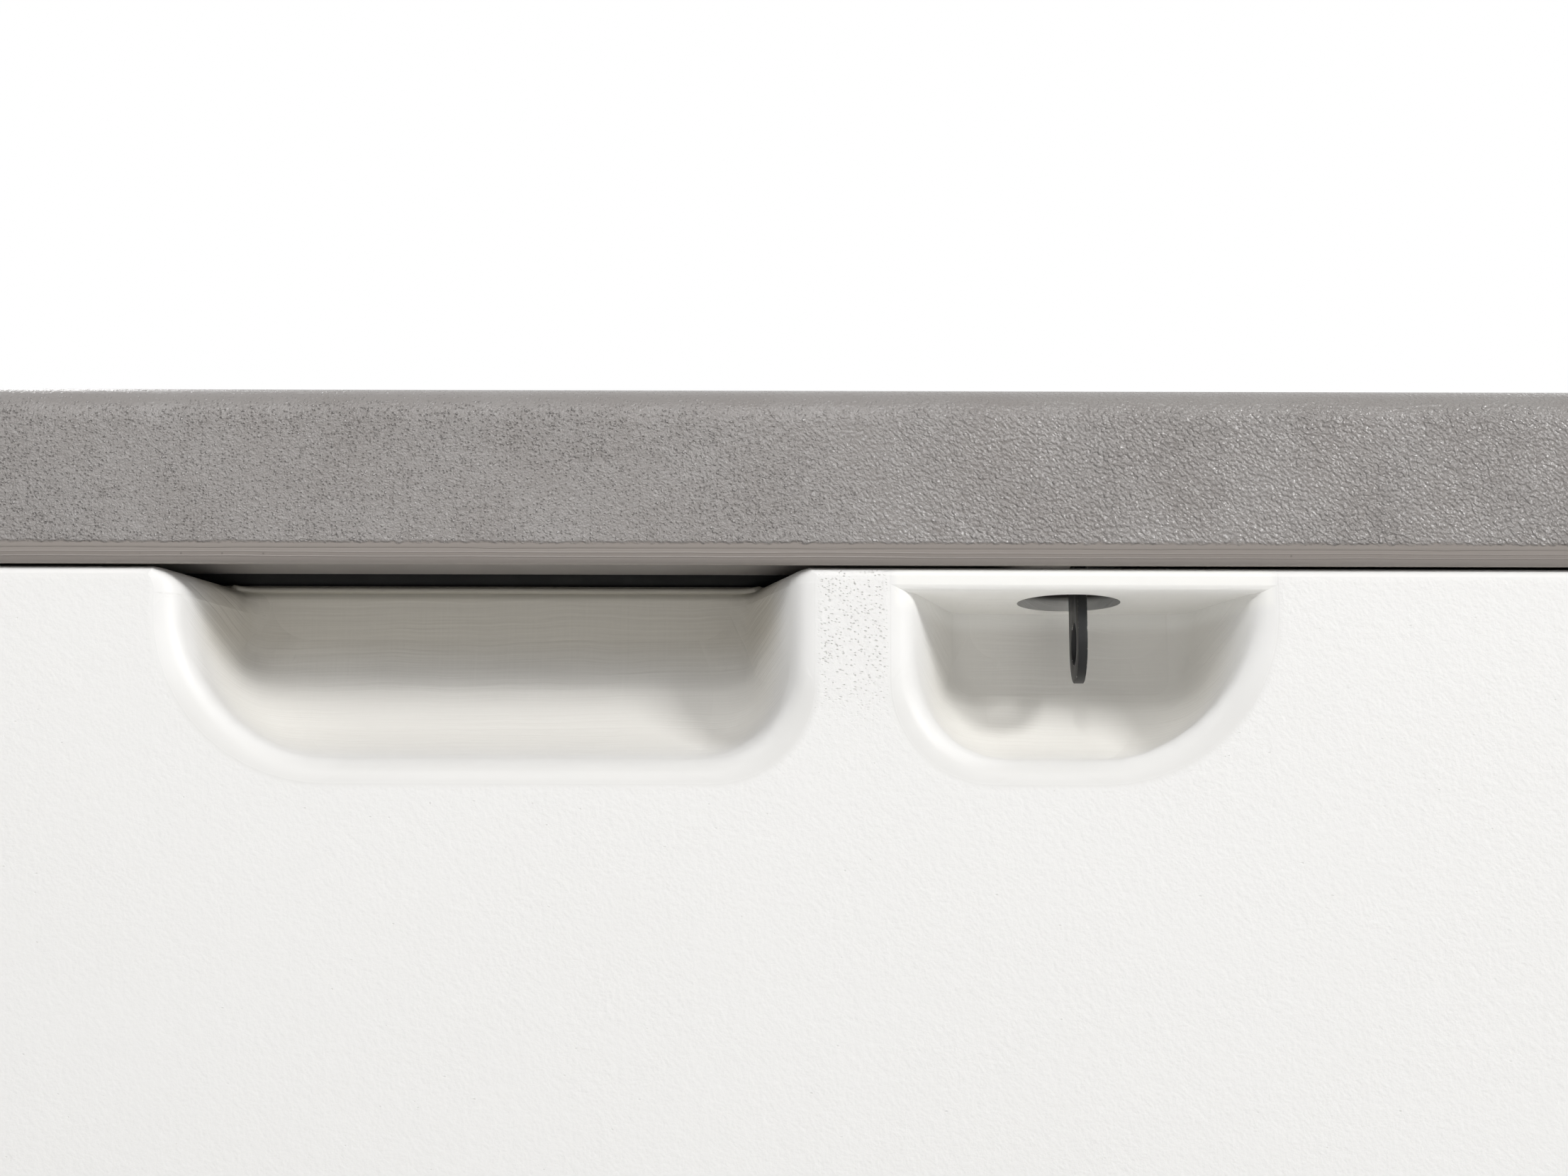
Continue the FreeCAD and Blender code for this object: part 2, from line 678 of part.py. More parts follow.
def ball_socket(at, towards):
    """Socket with its centre at a height on the strut's axis and its neck up or down that axis."""
    half = socket_length / 2
    head = cylinder(socket_r, socket_length, (-half, 0, at), (1, 0, 0))
    head = head.makeChamfer(socket_bevel, [e for e in head.Edges if e.BoundBox.XLength < 0.01])
    neck = cylinder(socket_neck_r, socket_neck, (0, 0, at), (0, 0, towards))
    socket = head.fuse(neck)
    seat = Part.makeSphere(ball_r + ball_clearance, V(0, 0, at), V(1, 0, 0))
    way_in = cylinder(stud_mouth_r, socket_length, (0, 0, at), (1, 0, 0))
    return socket.cut([seat, way_in]).removeSplitter()


def strut_tube():
    tube = cylinder(tube_r, tube_end - socket_neck, (0, 0, socket_neck), (0, 0, 1))
    tube = tube.makeChamfer(tube_wall, edges_at_height(tube, socket_neck))
    bore = cylinder(tube_r - tube_wall, tube_end, (0, 0, socket_neck + tube_cap), (0, 0, 1))
    return tube.cut(bore)


def strut_guide():
    fit = tube_r - tube_wall - bore_clearance
    plug = cylinder(fit, guide_length, (0, 0, tube_end - guide_length), (0, 0, 1))
    lip = cylinder(tube_r, guide_lip, (0, 0, tube_end), (0, 0, 1))
    start = (0, 0, tube_end - 2 * guide_length)
    bore = cylinder(rod_r + running_clearance, 3 * guide_length, start, (0, 0, 1))
    return plug.fuse(lip).cut(bore).removeSplitter()


def strut_piston():
    ring = cylinder(tube_r - tube_wall - running_clearance, piston_height, (0, 0, piston_start), (0, 0, 1))
    start = (0, 0, piston_start - piston_height)
    return ring.cut(cylinder(rod_r + bore_clearance, 3 * piston_height, start, (0, 0, 1)))


def strut_rod():
    start = piston_start - rod_tail
    return cylinder(rod_r, strut_closed - socket_neck - start, (0, 0, start), (0, 0, 1))


# Brackets of the struts
def ball_stud(x, y, z, s, length):
    """Ball with a neck that reaches away from the middle of the box."""
    ball = Part.makeSphere(ball_r, V(x, y, z), V(1, 0, 0))
    neck = cylinder(stud_r, length, (x, y, z), (s, 0, 0))
    collar = cylinder(stud_collar_r, stud_collar, (x + s * (length - stud_collar), y, z), (s, 0, 0))
    return ball.fuse([neck, collar]).removeSplitter()


def lid_bracket_holes(s):
    x = s * (bracket_face + bracket_thickness - bracket_foot * 0.62)
    y = upper_stud[1]
    return [V(x, y + turn * bracket_screw_pitch / 2, lid_skin - bracket_thickness) for turn in (-1, 1)]


def lid_bracket(s):
    _, y, z = upper_stud
    far = bracket_face + bracket_thickness
    half = bracket_width / 2
    low = z - bracket_tail
    leg = box(bracket_face, far, y - half, y + half, low, lid_skin)
    tip = [e for e in leg.Edges if abs(e.BoundBox.Center.z - low) < 0.01 and e.BoundBox.YLength < 0.01]
    leg = leg.makeFillet(bracket_tail * 0.9, tip)
    foot = box(far - bracket_foot, far, y - half, y + half, lid_skin - bracket_thickness, lid_skin)
    bracket = leg.fuse(foot).removeSplitter()
    inside = [e for e in bracket.Edges if lies_at(e, bracket_face, lid_skin - bracket_thickness)]
    bracket = bracket.makeFillet(bracket_bend_r, inside)
    if s < 0:
        bracket = bracket.mirror(V(0, 0, 0), V(1, 0, 0))
    t = bracket_thickness
    cuts = [bored(p - V(0, 0, t), bracket_screw_r, 3 * t, (0, 0, 1)) for p in lid_bracket_holes(s)]
    return bracket.cut(cuts)


def body_bracket_holes(s):
    x = s * (strut_pad_face - bracket_thickness)
    _, y, z = lower_stud
    y += bracket_shift
    reach = (bracket_height - bracket_flange) / 2
    return [V(x, y, z + turn * reach) for turn in (-1, 1)]


def body_bracket(s):
    """Hat-shaped plate: two flanges on the wall and a crown that holds the ball stud."""
    _, y, z = lower_stud
    t = bracket_thickness
    wall = strut_pad_face
    half = bracket_height / 2
    inner = half - bracket_flange
    y0 = y + bracket_shift - bracket_width / 2
    hat = [(wall, half), (wall - t, half), (wall - t, inner), (bracket_face, inner - bracket_lean),
           (bracket_face, -inner + bracket_lean), (wall - t, -inner), (wall - t, -half), (wall, -half)]
    hollow = [(wall + t, inner - t), (wall - t, inner - t), (bracket_face + t, inner - bracket_lean - t),
              (bracket_face + t, -inner + bracket_lean + t), (wall - t, -inner + t), (wall + t, -inner + t)]
    solids = []
    for points in (hat, hollow):
        corners = [V(px, y0, z + pz) for px, pz in points]
        solids.append(Part.Face(Part.makePolygon(corners + corners[:1])).extrude(V(0, bracket_width, 0)))
    bracket = solids[0].cut(solids[1])
    if s < 0:
        bracket = bracket.mirror(V(0, 0, 0), V(1, 0, 0))
    cuts = [bored(p - V(s * t, 0, 0), bracket_screw_r, 3 * t, (s, 0, 0)) for p in body_bracket_holes(s)]
    return bracket.cut(cuts)


# Feet
def foot(x, y):
    body = Part.makeCone(foot_r - foot_taper, foot_r, foot_height, V(x, y, 0))
    body = body.makeChamfer(foot_bevel, edges_at_height(body, 0.0))
    bore = cylinder(foot_bolt_r + screw_clearance, foot_height, (x, y, 0), (0, 0, 1))
    seat = cylinder(foot_counterbore_r, foot_counterbore, (x, y, 0), (0, 0, 1))
    return body.cut([bore, seat])


# Fasteners
def eye_screws():
    points = eye_screw_points()
    return [flush_screw(p, (0, 0, 1), eye_screw_r, eye_screw_length, eye_screw_head_r) for p in points]


def leaf_screws_body():
    length = leaf_thickness + hinge_pad_thickness + backing_thickness + nut_height + bolt_past_nut
    return [pan_screw(p, (0, -1, 0), length, bolt_size) for x in hinge_places for p in leaf_holes(x, -1)]


def leaf_nuts():
    y = back - hinge_pad_thickness - backing_thickness
    bore = bolt_r + bore_clearance
    return [hex_nut(V(p.x, y, p.z), (0, -1, 0), nut_across, nut_height, bore)
            for x in hinge_places for p in leaf_holes(x, -1)]


def leaf_screws_lid():
    points = [p for x in hinge_places for p in leaf_holes(x, 1)]
    return [pan_screw(p, (0, -1, 0), lid_screw_length, bolt_size) for p in points]


def lid_bracket_screws():
    length = bracket_screw_length
    points = [p for s in (-1, 1) for p in lid_bracket_holes(s)]
    return [pan_screw(p, (0, 0, 1), length, bracket_screw_size) for p in points]


def body_bracket_screws():
    length = bracket_screw_length
    sides = ((s, p) for s in (-1, 1) for p in body_bracket_holes(s))
    return [pan_screw(p, (s, 0, 0), length, bracket_screw_size) for s, p in sides]


def foot_bolts():
    length = foot_height - foot_counterbore + body_wall + foot_nut_height + bolt_past_nut
    return [pan_screw(V(x, y, foot_counterbore), (0, 0, 1), length, foot_bolt_size) for x, y in foot_places]


def foot_nuts():
    z = base + body_wall
    bore = foot_bolt_r + bore_clearance
    return [hex_nut(V(x, y, z), (0, 0, 1), foot_nut_across, foot_nut_height, bore) for x, y in foot_places]


write("body_shell", body_shell())
write("lid_shell", lid_shell())
write("lid_vent_plug", vent_plug())
write("lid_seal", lid_seal())
write("lock_eye", lock_eye())
write("lock_eye_screws", merge(eye_screws()))
for number, x in enumerate(hinge_places, 1):
    write("hinge_body_leaf_" + str(number), hinge_leaf(x, -1))
    write("hinge_lid_leaf_" + str(number), hinge_leaf(x, 1))
    write("hinge_pin_" + str(number), hinge_pin(x))
write("hinge_backing_plates", merge([backing_plate(x) for x in hinge_places]))
write("hinge_bolts", merge(leaf_screws_body()))
write("hinge_nuts", merge(leaf_nuts()))
write("hinge_lid_screws", merge(leaf_screws_lid()))
for name, s in (("left", -1), ("right", 1)):
    write("strut_tube_" + name, placed(strut_tube(), s))
    write("strut_guide_" + name, placed(strut_guide(), s))
    write("strut_piston_" + name, placed(strut_piston(), s))
    write("strut_rod_" + name, placed(strut_rod(), s))
    write("strut_upper_socket_" + name, placed(ball_socket(0.0, 1), s))
    write("strut_lower_socket_" + name, placed(ball_socket(strut_closed, -1), s))
    write("lid_bracket_" + name, lid_bracket(s))
    write("lid_ball_stud_" + name, ball_stud(s * strut_x, upper_stud[1], upper_stud[2], s, stud_length))
    write("body_bracket_" + name, body_bracket(s))
    write("body_ball_stud_" + name, ball_stud(s * strut_x, lower_stud[1], lower_stud[2], s, stud_length))
write("lid_bracket_screws", merge(lid_bracket_screws()))
write("body_bracket_screws", merge(body_bracket_screws()))
for number, (x, y) in enumerate(foot_places, 1):
    write("foot_" + str(number), foot(x, y))
write("foot_bolts", merge(foot_bolts()))
write("foot_nuts", merge(foot_nuts()))
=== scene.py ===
import math

import bmesh
import bpy
from mathutils import Matrix, Vector


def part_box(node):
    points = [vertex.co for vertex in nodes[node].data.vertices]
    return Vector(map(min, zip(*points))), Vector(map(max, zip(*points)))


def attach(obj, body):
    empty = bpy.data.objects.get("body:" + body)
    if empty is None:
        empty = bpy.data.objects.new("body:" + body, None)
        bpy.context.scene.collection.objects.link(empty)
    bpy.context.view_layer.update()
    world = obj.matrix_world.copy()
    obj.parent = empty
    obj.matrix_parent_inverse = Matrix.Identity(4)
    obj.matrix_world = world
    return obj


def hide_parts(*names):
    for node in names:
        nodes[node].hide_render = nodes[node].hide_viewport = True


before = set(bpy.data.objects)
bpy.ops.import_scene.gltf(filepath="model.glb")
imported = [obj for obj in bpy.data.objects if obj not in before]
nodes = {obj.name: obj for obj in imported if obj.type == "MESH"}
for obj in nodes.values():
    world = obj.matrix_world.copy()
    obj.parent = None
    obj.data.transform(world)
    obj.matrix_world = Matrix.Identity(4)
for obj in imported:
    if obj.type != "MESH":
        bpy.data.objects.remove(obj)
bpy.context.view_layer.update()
mm = 0.001

# Box sizes that patterns and new pieces are laid out from, in metres, read from the frame
lidLow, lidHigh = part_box("lid_shell")
bodyLow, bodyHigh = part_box("body_shell")
box = {
    "faceY": bodyLow.y,
    "backY": bodyHigh.y,
    "halfX": bodyHigh.x,
    "rimZ": bodyHigh.z - 2 * mm,
    "lidZ": lidLow.z,
    "lidHalfX": lidHigh.x,
    "lidHalfY": (lidHigh.y - lidLow.y) / 2,
    "lidMidY": (lidHigh.y + lidLow.y) / 2,
    "lidCornerR": 63 * mm,
    "bodyCornerR": 60 * mm,
    "draftSlope": math.tan(math.radians(1.0)),
}


def say(stage):
    print("cushion box:", stage)


say("frame loaded")

# Camera, at the photograph's place and angle
view = {
    "imageWidthPx": 2212,
    "focalPx": 3500.0,
    "sensorWidth": 36.0,
    "fromFace": 0.783,
    "belowRim": 0.1565,
    "right": 0.022,
    "tiltUpDeg": 10.8,
    "rollDeg": 0.15,
}


def placeCamera():
    data = bpy.data.cameras.new("camera")
    data.sensor_width = view["sensorWidth"]
    data.lens = view["focalPx"] / view["imageWidthPx"] * view["sensorWidth"]
    data.clip_start = 0.05
    data.clip_end = 50.0
    camera = bpy.data.objects.new("camera", data)
    bpy.context.scene.collection.objects.link(camera)
    turn = Matrix.Rotation(math.radians(90 + view["tiltUpDeg"]), 4, "X")
    roll = Matrix.Rotation(math.radians(view["rollDeg"]), 4, "Z")
    stand = (view["right"], box["faceY"] - view["fromFace"], box["rimZ"] - view["belowRim"])
    camera.matrix_world = Matrix.Translation(stand) @ turn @ roll
    bpy.context.scene.camera = camera


placeCamera()
say("camera placed")

# Studio: soft lamps at the front with one small one for sparkle, weaker lamps behind, a pale floor
# and a white surround
studio = {
    "lamps": {
        "frontLamp": {"power": 11.2, "size": 0.9, "at": (0.02, -2.01, 2.04), "aim": (0.02, -0.3, 0.5)},
        "sparkLamp": {"power": 2.8, "size": 0.14, "at": (-0.05, -1.90, 1.75), "aim": (0.02, -0.3, 0.5)},
        "rightLamp": {"power": 100.0, "size": 0.9, "at": (3.06, -2.85, 2.61), "aim": (0.02, -0.3, 0.5)},
        "leftLamp": {"power": 4.0, "size": 0.8, "at": (-0.6, -1.36, 1.36), "aim": (0.02, -0.3, 0.5)},
        "backLamp": {"power": 30.0, "size": 1.6, "at": (-1.9, 2.3, 2.3), "aim": (0.0, 0.0, 0.4)},
        "sideLamp": {"power": 16.0, "size": 1.6, "at": (2.2, 1.9, 2.2), "aim": (0.0, 0.0, 0.4)},
    },
    "surround": 0.18,        # strength that lights the object
    "background": 1.0,       # strength that the camera and reflections see
    "floorHalf": 7.0,
    "floorTone": 0.86,
    "floorLift": 0.20,       # paleness that only the camera sees
}


def placeLamp(name, power, size, at, aim):
    data = bpy.data.lights.new(name, "AREA")
    data.energy = power
    data.shape = "SQUARE"
    data.size = size
    lamp = bpy.data.objects.new(name, data)
    bpy.context.scene.collection.objects.link(lamp)
    towards = Vector(aim) - Vector(at)
    lamp.matrix_world = Matrix.Translation(at) @ towards.to_track_quat("-Z", "Y").to_matrix().to_4x4()


class Signal:                # one output of a material's node, with arithmetic
    def __init__(self, finish, socket):
        self.finish = finish
        self.socket = socket

    def run(self, operation, first, second=0.0):
        return self.finish.node("ShaderNodeMath", {"operation": operation}, {0: first, 1: second})

    def __add__(self, other):
        return self.run("ADD", self, other)

    def __sub__(self, other):
        return self.run("SUBTRACT", self, other)

    def __rsub__(self, other):
        return self.run("SUBTRACT", other, self)

    def __mul__(self, other):
        return self.run("MULTIPLY", self, other)

    def __truediv__(self, other):
        return self.run("DIVIDE", self, other)

    def __pow__(self, other):
        return self.run("POWER", self, other)

    def __neg__(self):
        return self.run("MULTIPLY", self, -1.0)

    def __abs__(self):
        return self.run("ABSOLUTE", self)

    __radd__ = __add__
    __rmul__ = __mul__

    def least(self, other):
        return self.run("MINIMUM", self, other)

    def most(self, other):
        return self.run("MAXIMUM", self, other)


class Finish:                # a material in the making
    def __init__(self, name, tree=None):
        if tree is None:
            self.material = bpy.data.materials.new(name)
            self.material.use_nodes = True
            tree = self.material.node_tree
        self.tree = tree
        self.tree.nodes.clear()

    def node(self, kind, settings=None, values=None, output=0):
        made = self.tree.nodes.new(kind)
        for key, setting in (settings or {}).items():
            setattr(made, key, setting)
        for key, value in (values or {}).items():
            if isinstance(value, Signal):
                self.tree.links.new(value.socket, made.inputs[key])
            else:
                made.inputs[key].default_value = value
        return Signal(self, made.outputs[output]) if made.outputs else None

    def where(self):         # object coordinates
        return self.node("ShaderNodeTexCoord", output="Object")

    def place(self):         # object coordinates as three signals and one vector
        at = self.where()
        split = [self.node("ShaderNodeSeparateXYZ", values={0: at}, output=i) for i in range(3)]
        return split + [at]

    def joined(self, x, y, z):
        return self.node("ShaderNodeCombineXYZ", values={0: x, 1: y, 2: z})

    def noise(self, at, perMetre, detail, roughness=0.5):
        values = {"Vector": at, "Scale": perMetre, "Detail": detail, "Roughness": roughness}
        return self.node("ShaderNodeTexNoise", values=values)

    def streaks(self, at, perMetre, detail, roughness):     # noise with a scale along each axis
        x, y, z = [part * scale for part, scale in zip(at, perMetre)]
        return self.noise(self.joined(x, y, z), 1.0, detail, roughness)

    def cells(self, at, perMetre):      # distance to a cell's middle, and two random numbers of it
        spot = self.node("ShaderNodeTexVoronoi", values={"Vector": at, "Scale": perMetre})
        pick = Signal(self, spot.socket.node.outputs["Color"])
        split = self.node("ShaderNodeSeparateColor", values={0: pick})
        return spot, split, Signal(self, split.socket.node.outputs[1])

    def step(self, value, low, high, start=0.0, end=1.0):
        values = {"Value": value, "From Min": low, "From Max": high, "To Min": start, "To Max": end}
        return self.node("ShaderNodeMapRange", {"interpolation_type": "SMOOTHSTEP"}, values)

    def mix(self, mask, first, second):
        colours = [(*c, 1.0) if isinstance(c, tuple) else c for c in (first, second)]
        return self.node("ShaderNodeMix", {"data_type": "RGBA"}, {0: mask, 6: colours[0], 7: colours[1]}, 2)

    def bump(self, height, depth):      # height counts in units of depth
        return self.node("ShaderNodeBump", values={"Height": height, "Distance": depth})

    def surface(self, **values):
        named = {key.replace("_", " "): value for key, value in values.items()}
        colour = named.get("Base Color")
        if isinstance(colour, tuple):
            named["Base Color"] = (*colour, 1.0)
        return self.node("ShaderNodeBsdfPrincipled", values=named)

    def done(self, shader):
        self.node("ShaderNodeOutputMaterial", values={"Surface": shader})
        return self.material

    def roundedGap(self, x, y, halfX, halfY, radius):     # distance out of a rectangle with round corners
        overX = abs(x) - (halfX - radius)
        overY = abs(y) - (halfY - radius)
        outside = (overX.most(0.0) ** 2.0 + overY.most(0.0) ** 2.0) ** 0.5
        return outside + overX.most(overY).least(0.0) - radius


def makeWorld():
    world = bpy.data.worlds.new("studio")
    bpy.context.scene.world = world
    world.use_nodes = True
    finish = Finish("studio", world.node_tree)
    rays = [finish.node("ShaderNodeLightPath", output=kind)
            for kind in ("Is Camera Ray", "Is Glossy Ray", "Is Transmission Ray")]
    seen = rays[0].most(rays[1]).most(rays[2])
    strength = seen * (studio["background"] - studio["surround"]) + studio["surround"]
    sky = finish.node("ShaderNodeBackground", values={"Color": (1.0, 1.0, 1.0, 1.0), "Strength": strength})
    finish.node("ShaderNodeOutputWorld", values={"Surface": sky})


def makeFloor():
    bm = bmesh.new()
    bmesh.ops.create_grid(bm, x_segments=2, y_segments=2, size=studio["floorHalf"])
    mesh = bpy.data.meshes.new("floor")
    bm.to_mesh(mesh)
    bm.free()
    floor = bpy.data.objects.new("floor", mesh)
    bpy.context.scene.collection.objects.link(floor)
    paint = Finish("floorPaint")
    seen = paint.node("ShaderNodeLightPath", output="Is Camera Ray")
    lift = paint.mix(seen, (0.0, 0.0, 0.0), (studio["floorLift"],) * 3)
    shader = paint.surface(Base_Color=(studio["floorTone"],) * 3, Roughness=0.75,
                           Emission_Color=lift, Emission_Strength=1.0)
    mesh.materials.append(paint.done(shader))


for lampName, lamp in studio["lamps"].items():
    placeLamp(lampName, **lamp)
makeWorld()
makeFloor()
bpy.context.scene.view_settings.view_transform = "Standard"
say("studio lit")

# White moulded body: fine soft grain outside, smooth pockets with faint tool marks
bodyPlastic = {
    "colour": (0.845, 0.838, 0.822),
    "warm": (0.815, 0.803, 0.778),
    "pitTint": (0.52, 0.50, 0.47),
    # painted shade: the pockets' insides a little darker and warmer
    "pocketShadeTint": (0.803, 0.785, 0.744),
    "shadeTint": (0.675, 0.642, 0.572),      # upper part of the hand grip's back
    "roofLightTint": (0.900, 0.890, 0.855),       # ceiling of the padlock pocket, lighter as painted light
    "holeShadeTint": (0.045, 0.040, 0.034),       # painted shade on the wall of the hole in that ceiling
    "rolledShadeTint": (0.735, 0.725, 0.702),     # painted shade on the rounded edges round the pockets
    "lipShadeTint": (0.300, 0.280, 0.235),      # painted shade under the lip at the top edge of the hand grip's back
    "roughness": 0.46,
    "ior": 1.5,
    "perMetre": {"grain": 400.0, "peel": 60.0, "patches": 9.0, "pits": 860.0, "bends": 900.0,
                 "ragged": 150.0, "wander": 24.0, "level": (10.0, 10.0, 620.0),
                 "wide": (20.0, 20.0, 170.0), "upright": (700.0, 60.0, 18.0)},
    "grainDepth": 0.28 * mm,
    "peelDepth": 0.05 * mm,
    "pitDepth": 0.24 * mm,
    "bar": {"half": (13 * mm, 9 * mm), "z": (488 * mm, 520 * mm), "ragged": 24 * mm},
    "streakDepth": 0.26 * mm,
    "wander": 7 * mm,
    "wallSlope": 0.45,                       # of the tool marks on the side walls
    "lineDepth": {"edge": 0.03 * mm, "panelEdge": 0.04 * mm, "panel": 0.05 * mm},
    "grip": {"left": -180.4 * mm, "right": 32.1 * mm, "rLeft": 57 * mm, "rRight": 33 * mm},
    "lock": {"left": 56.3 * mm, "right": 180.5 * mm, "rLeft": 33 * mm, "rRight": 57 * mm},
    "drop": 70.3 * mm,
    "edgeR": 9 * mm,
    "eyeHole": {"x": 116 * mm, "depth": 23 * mm, "r": 17 * mm, "roof": 4.4 * mm},
    "panel": {"x": 115.5 * mm, "z": 541.0 * mm, "halfX": 36.5 * mm, "halfZ": 16 * mm, "r": 6 * mm},
    "bump": 0.2 * mm,
}


def pocketGap(finish, x, z, place):      # distance out of a pocket's outline on the front face
    middle = (place["left"] + place["right"]) / 2
    halfX = (place["right"] - place["left"]) / 2
    isRight = finish.node("ShaderNodeMath", {"operation": "GREATER_THAN"}, {0: x, 1: middle})
    radius = isRight * (place["rRight"] - place["rLeft"]) + place["rLeft"]
    return finish.roundedGap(x - middle, z - box["rimZ"], halfX, bodyPlastic["drop"], radius)


def makeBodyPlastic():
    p = bodyPlastic
    rate = p["perMetre"]
    finish = Finish("bodyPlastic")
    step = finish.step
    noise = finish.noise
    x, y, z, at = finish.place()
    below = box["rimZ"] - z
    lean = below * box["draftSlope"]
    depth = y - box["faceY"] - lean

    # outside faces carry the grain; the rim, the pockets and the inside don't
    midY = (box["faceY"] + box["backY"]) / 2
    halfY = (box["backY"] - box["faceY"]) / 2
    gap = finish.roundedGap(x, y - midY, box["halfX"] - lean, halfY - lean, box["bodyCornerR"])
    outside = step(gap, -1.6 * mm, -0.4 * mm)
    gripGap = pocketGap(finish, x, z, p["grip"])
    lockGap = pocketGap(finish, x, z, p["lock"])
    pocket = gripGap.least(lockGap)
    nearFront = step(depth, 60 * mm, 50 * mm)
    clear = step(pocket, -0.6 * mm, 2.0 * mm)
    grained = outside * (1.0 - nearFront * (1.0 - clear)) * step(below, 1.5 * mm, 5 * mm)

    # slanting grain that grows stronger towards the right, over a faint orange peel
    slanted = finish.joined((x + z) * 0.80, (x - z) * 0.60, y)
    soft = noise(slanted, rate["grain"], 1.5)
    fine = noise(at, rate["grain"] * 2.3, 2.0, 0.6)
    peel = noise(at, rate["peel"], 2.0)
    patches = noise(at, rate["patches"], 3.0, 0.55)
    grain = (soft * 0.65 + fine * 0.50) * (0.55 + 0.6 * patches) * step(x, -0.25, 0.28, 0.85, 1.50)

    # small pits, close together on the bar between the pockets and rare elsewhere
    barMid = (p["grip"]["right"] + p["lock"]["left"]) / 2
    bar = p["bar"]
    highUp = step(z - noise(at, rate["ragged"], 2.0, 0.6) * bar["ragged"], *bar["z"])
    onBar = step(abs(x - barMid), *bar["half"]) * highUp * nearFront
    bent = finish.joined(x + noise(at, rate["bends"], 1.0) * mm, y, z * 1.5)
    spot, chance, size = finish.cells(bent, rate["pits"])
    rare = step(chance, 0.996, 0.999) * (1.0 - onBar) * 0.5
    often = step(chance, 0.05, 0.75) * onBar
    pit = step(spot, 0.34 + 0.2 * size, 0.10) * (rare + often) * outside * clear

    # tool marks in the pockets run level at the back and slope on the side walls
    inPocket = nearFront * step(pocket, 0.0, -5.0 * mm) * step(depth, 4 * mm, 12 * mm)
    onWall = step(depth, 42 * mm, 34 * mm)
    run = z + depth * p["wallSlope"] + noise(at, rate["wander"], 2.0) * p["wander"]
    level = finish.streaks((x, y, run), rate["level"], 2.0, 0.6)
    wide = finish.streaks((x, y, run), rate["wide"], 1.0, 0.5)
    upright = finish.streaks((x, y, z), rate["upright"], 1.0, 0.5)
    streak = (level * (0.42 + 0.58 * onWall) + wide * 0.5 + upright * 0.16) * inPocket

    # faint outlines: the floor's fold, the lock pocket's sides, and the flat panel at its back
    foldLine = step(abs(pocket + p["edgeR"]), 0.7 * mm, 0.0) * step(below, 55 * mm, 59 * mm)
    sideLine = step(abs(lockGap - 0.2 * mm), 0.5 * mm, 0.0) * step(below, 62 * mm, 30 * mm)
    edgeLine = (foldLine * 0.8).most(sideLine) * nearFront * step(depth, 14 * mm, 10 * mm)
    flat = p["panel"]
    panelGap = finish.roundedGap(x - flat["x"], z - flat["z"], flat["halfX"], flat["halfZ"], flat["r"])
    atBack = step(depth, 36 * mm, 42 * mm) * nearFront
    panelLine = step(abs(panelGap), 0.6 * mm, 0.0) * atBack * step(z - flat["z"], -17 * mm, 4 * mm)
    panel = step(panelGap, 0.4 * mm, -0.4 * mm) * atBack

    # where each tint lies; all but the marks are painted: shade in the pockets, on the hole's wall, on the
    # rolled edges and under the grip's lip, light on the padlock pocket's ceiling
    # painted shade: the pockets' insides darker and warmer
    inside = nearFront * step(pocket, -3 * mm, -14 * mm) * step(depth, 6 * mm, 30 * mm)
    shade = inside * step(below, 32 * mm, 14 * mm) * step(gripGap, 0.0, -4 * mm)
    # painted light: the padlock pocket's ceiling lighter
    roof = step(lockGap, 0.0, -3 * mm) * step(below, 15 * mm, 10 * mm)
    hole = p["eyeHole"]
    holeR = ((x - hole["x"]) ** 2.0 + (depth - hole["depth"]) ** 2.0) ** 0.5
    # painted shade on the wall of the padlock hole, darker towards its top
    holeWallShade = step(holeR, hole["r"] + 1.0 * mm, hole["r"] + 0.4 * mm) * nearFront
    holeWallShade = holeWallShade * step(below, hole["roof"] + 0.5 * mm, hole["roof"] - 2.2 * mm)
    # painted shade on the rounded edges round the pockets
    rolledShade = step(pocket, -9 * mm, -4 * mm) * step(pocket, 2.5 * mm, -1 * mm)
    rolledShade = rolledShade * nearFront * step(depth, 9 * mm, 4 * mm) * step(below, 25 * mm, 50 * mm)
    # painted shade under the lip at the top of the hand grip's back
    lipShade = step(depth, 10 * mm, 38 * mm) * nearFront * step(gripGap, 0.0, -3 * mm)
    lipShade = lipShade * step(below, 3.6 * mm, 1.0 * mm)
    marks = (pit * 0.42 + edgeLine * 0.06 + panelLine * 0.05 + panel * 0.05).least(1.0)

    colour = finish.mix(patches * 0.4, p["colour"], p["warm"])
    for mask, tint in ((inside, "pocketShadeTint"), (shade, "shadeTint"), (roof, "roofLightTint"),
                       (holeWallShade, "holeShadeTint"), (rolledShade * 0.85, "rolledShadeTint"),
                       (lipShade * 0.85, "lipShadeTint"), (marks, "pitTint")):
        colour = finish.mix(mask, colour, p[tint])
    line = p["lineDepth"]
    height = grained * grain * p["grainDepth"] + peel * p["peelDepth"] + streak * p["streakDepth"]
    height = height - pit * p["pitDepth"] - edgeLine * line["edge"]
    height = height - panelLine * line["panelEdge"] - panel * line["panel"]
    rough = p["roughness"] + grained * 0.10 - inPocket * 0.04
    normal = finish.bump(height / p["bump"], p["bump"])
    shader = finish.surface(Base_Color=colour, Roughness=rough, Normal=normal, IOR=p["ior"])
    return finish.done(shader)


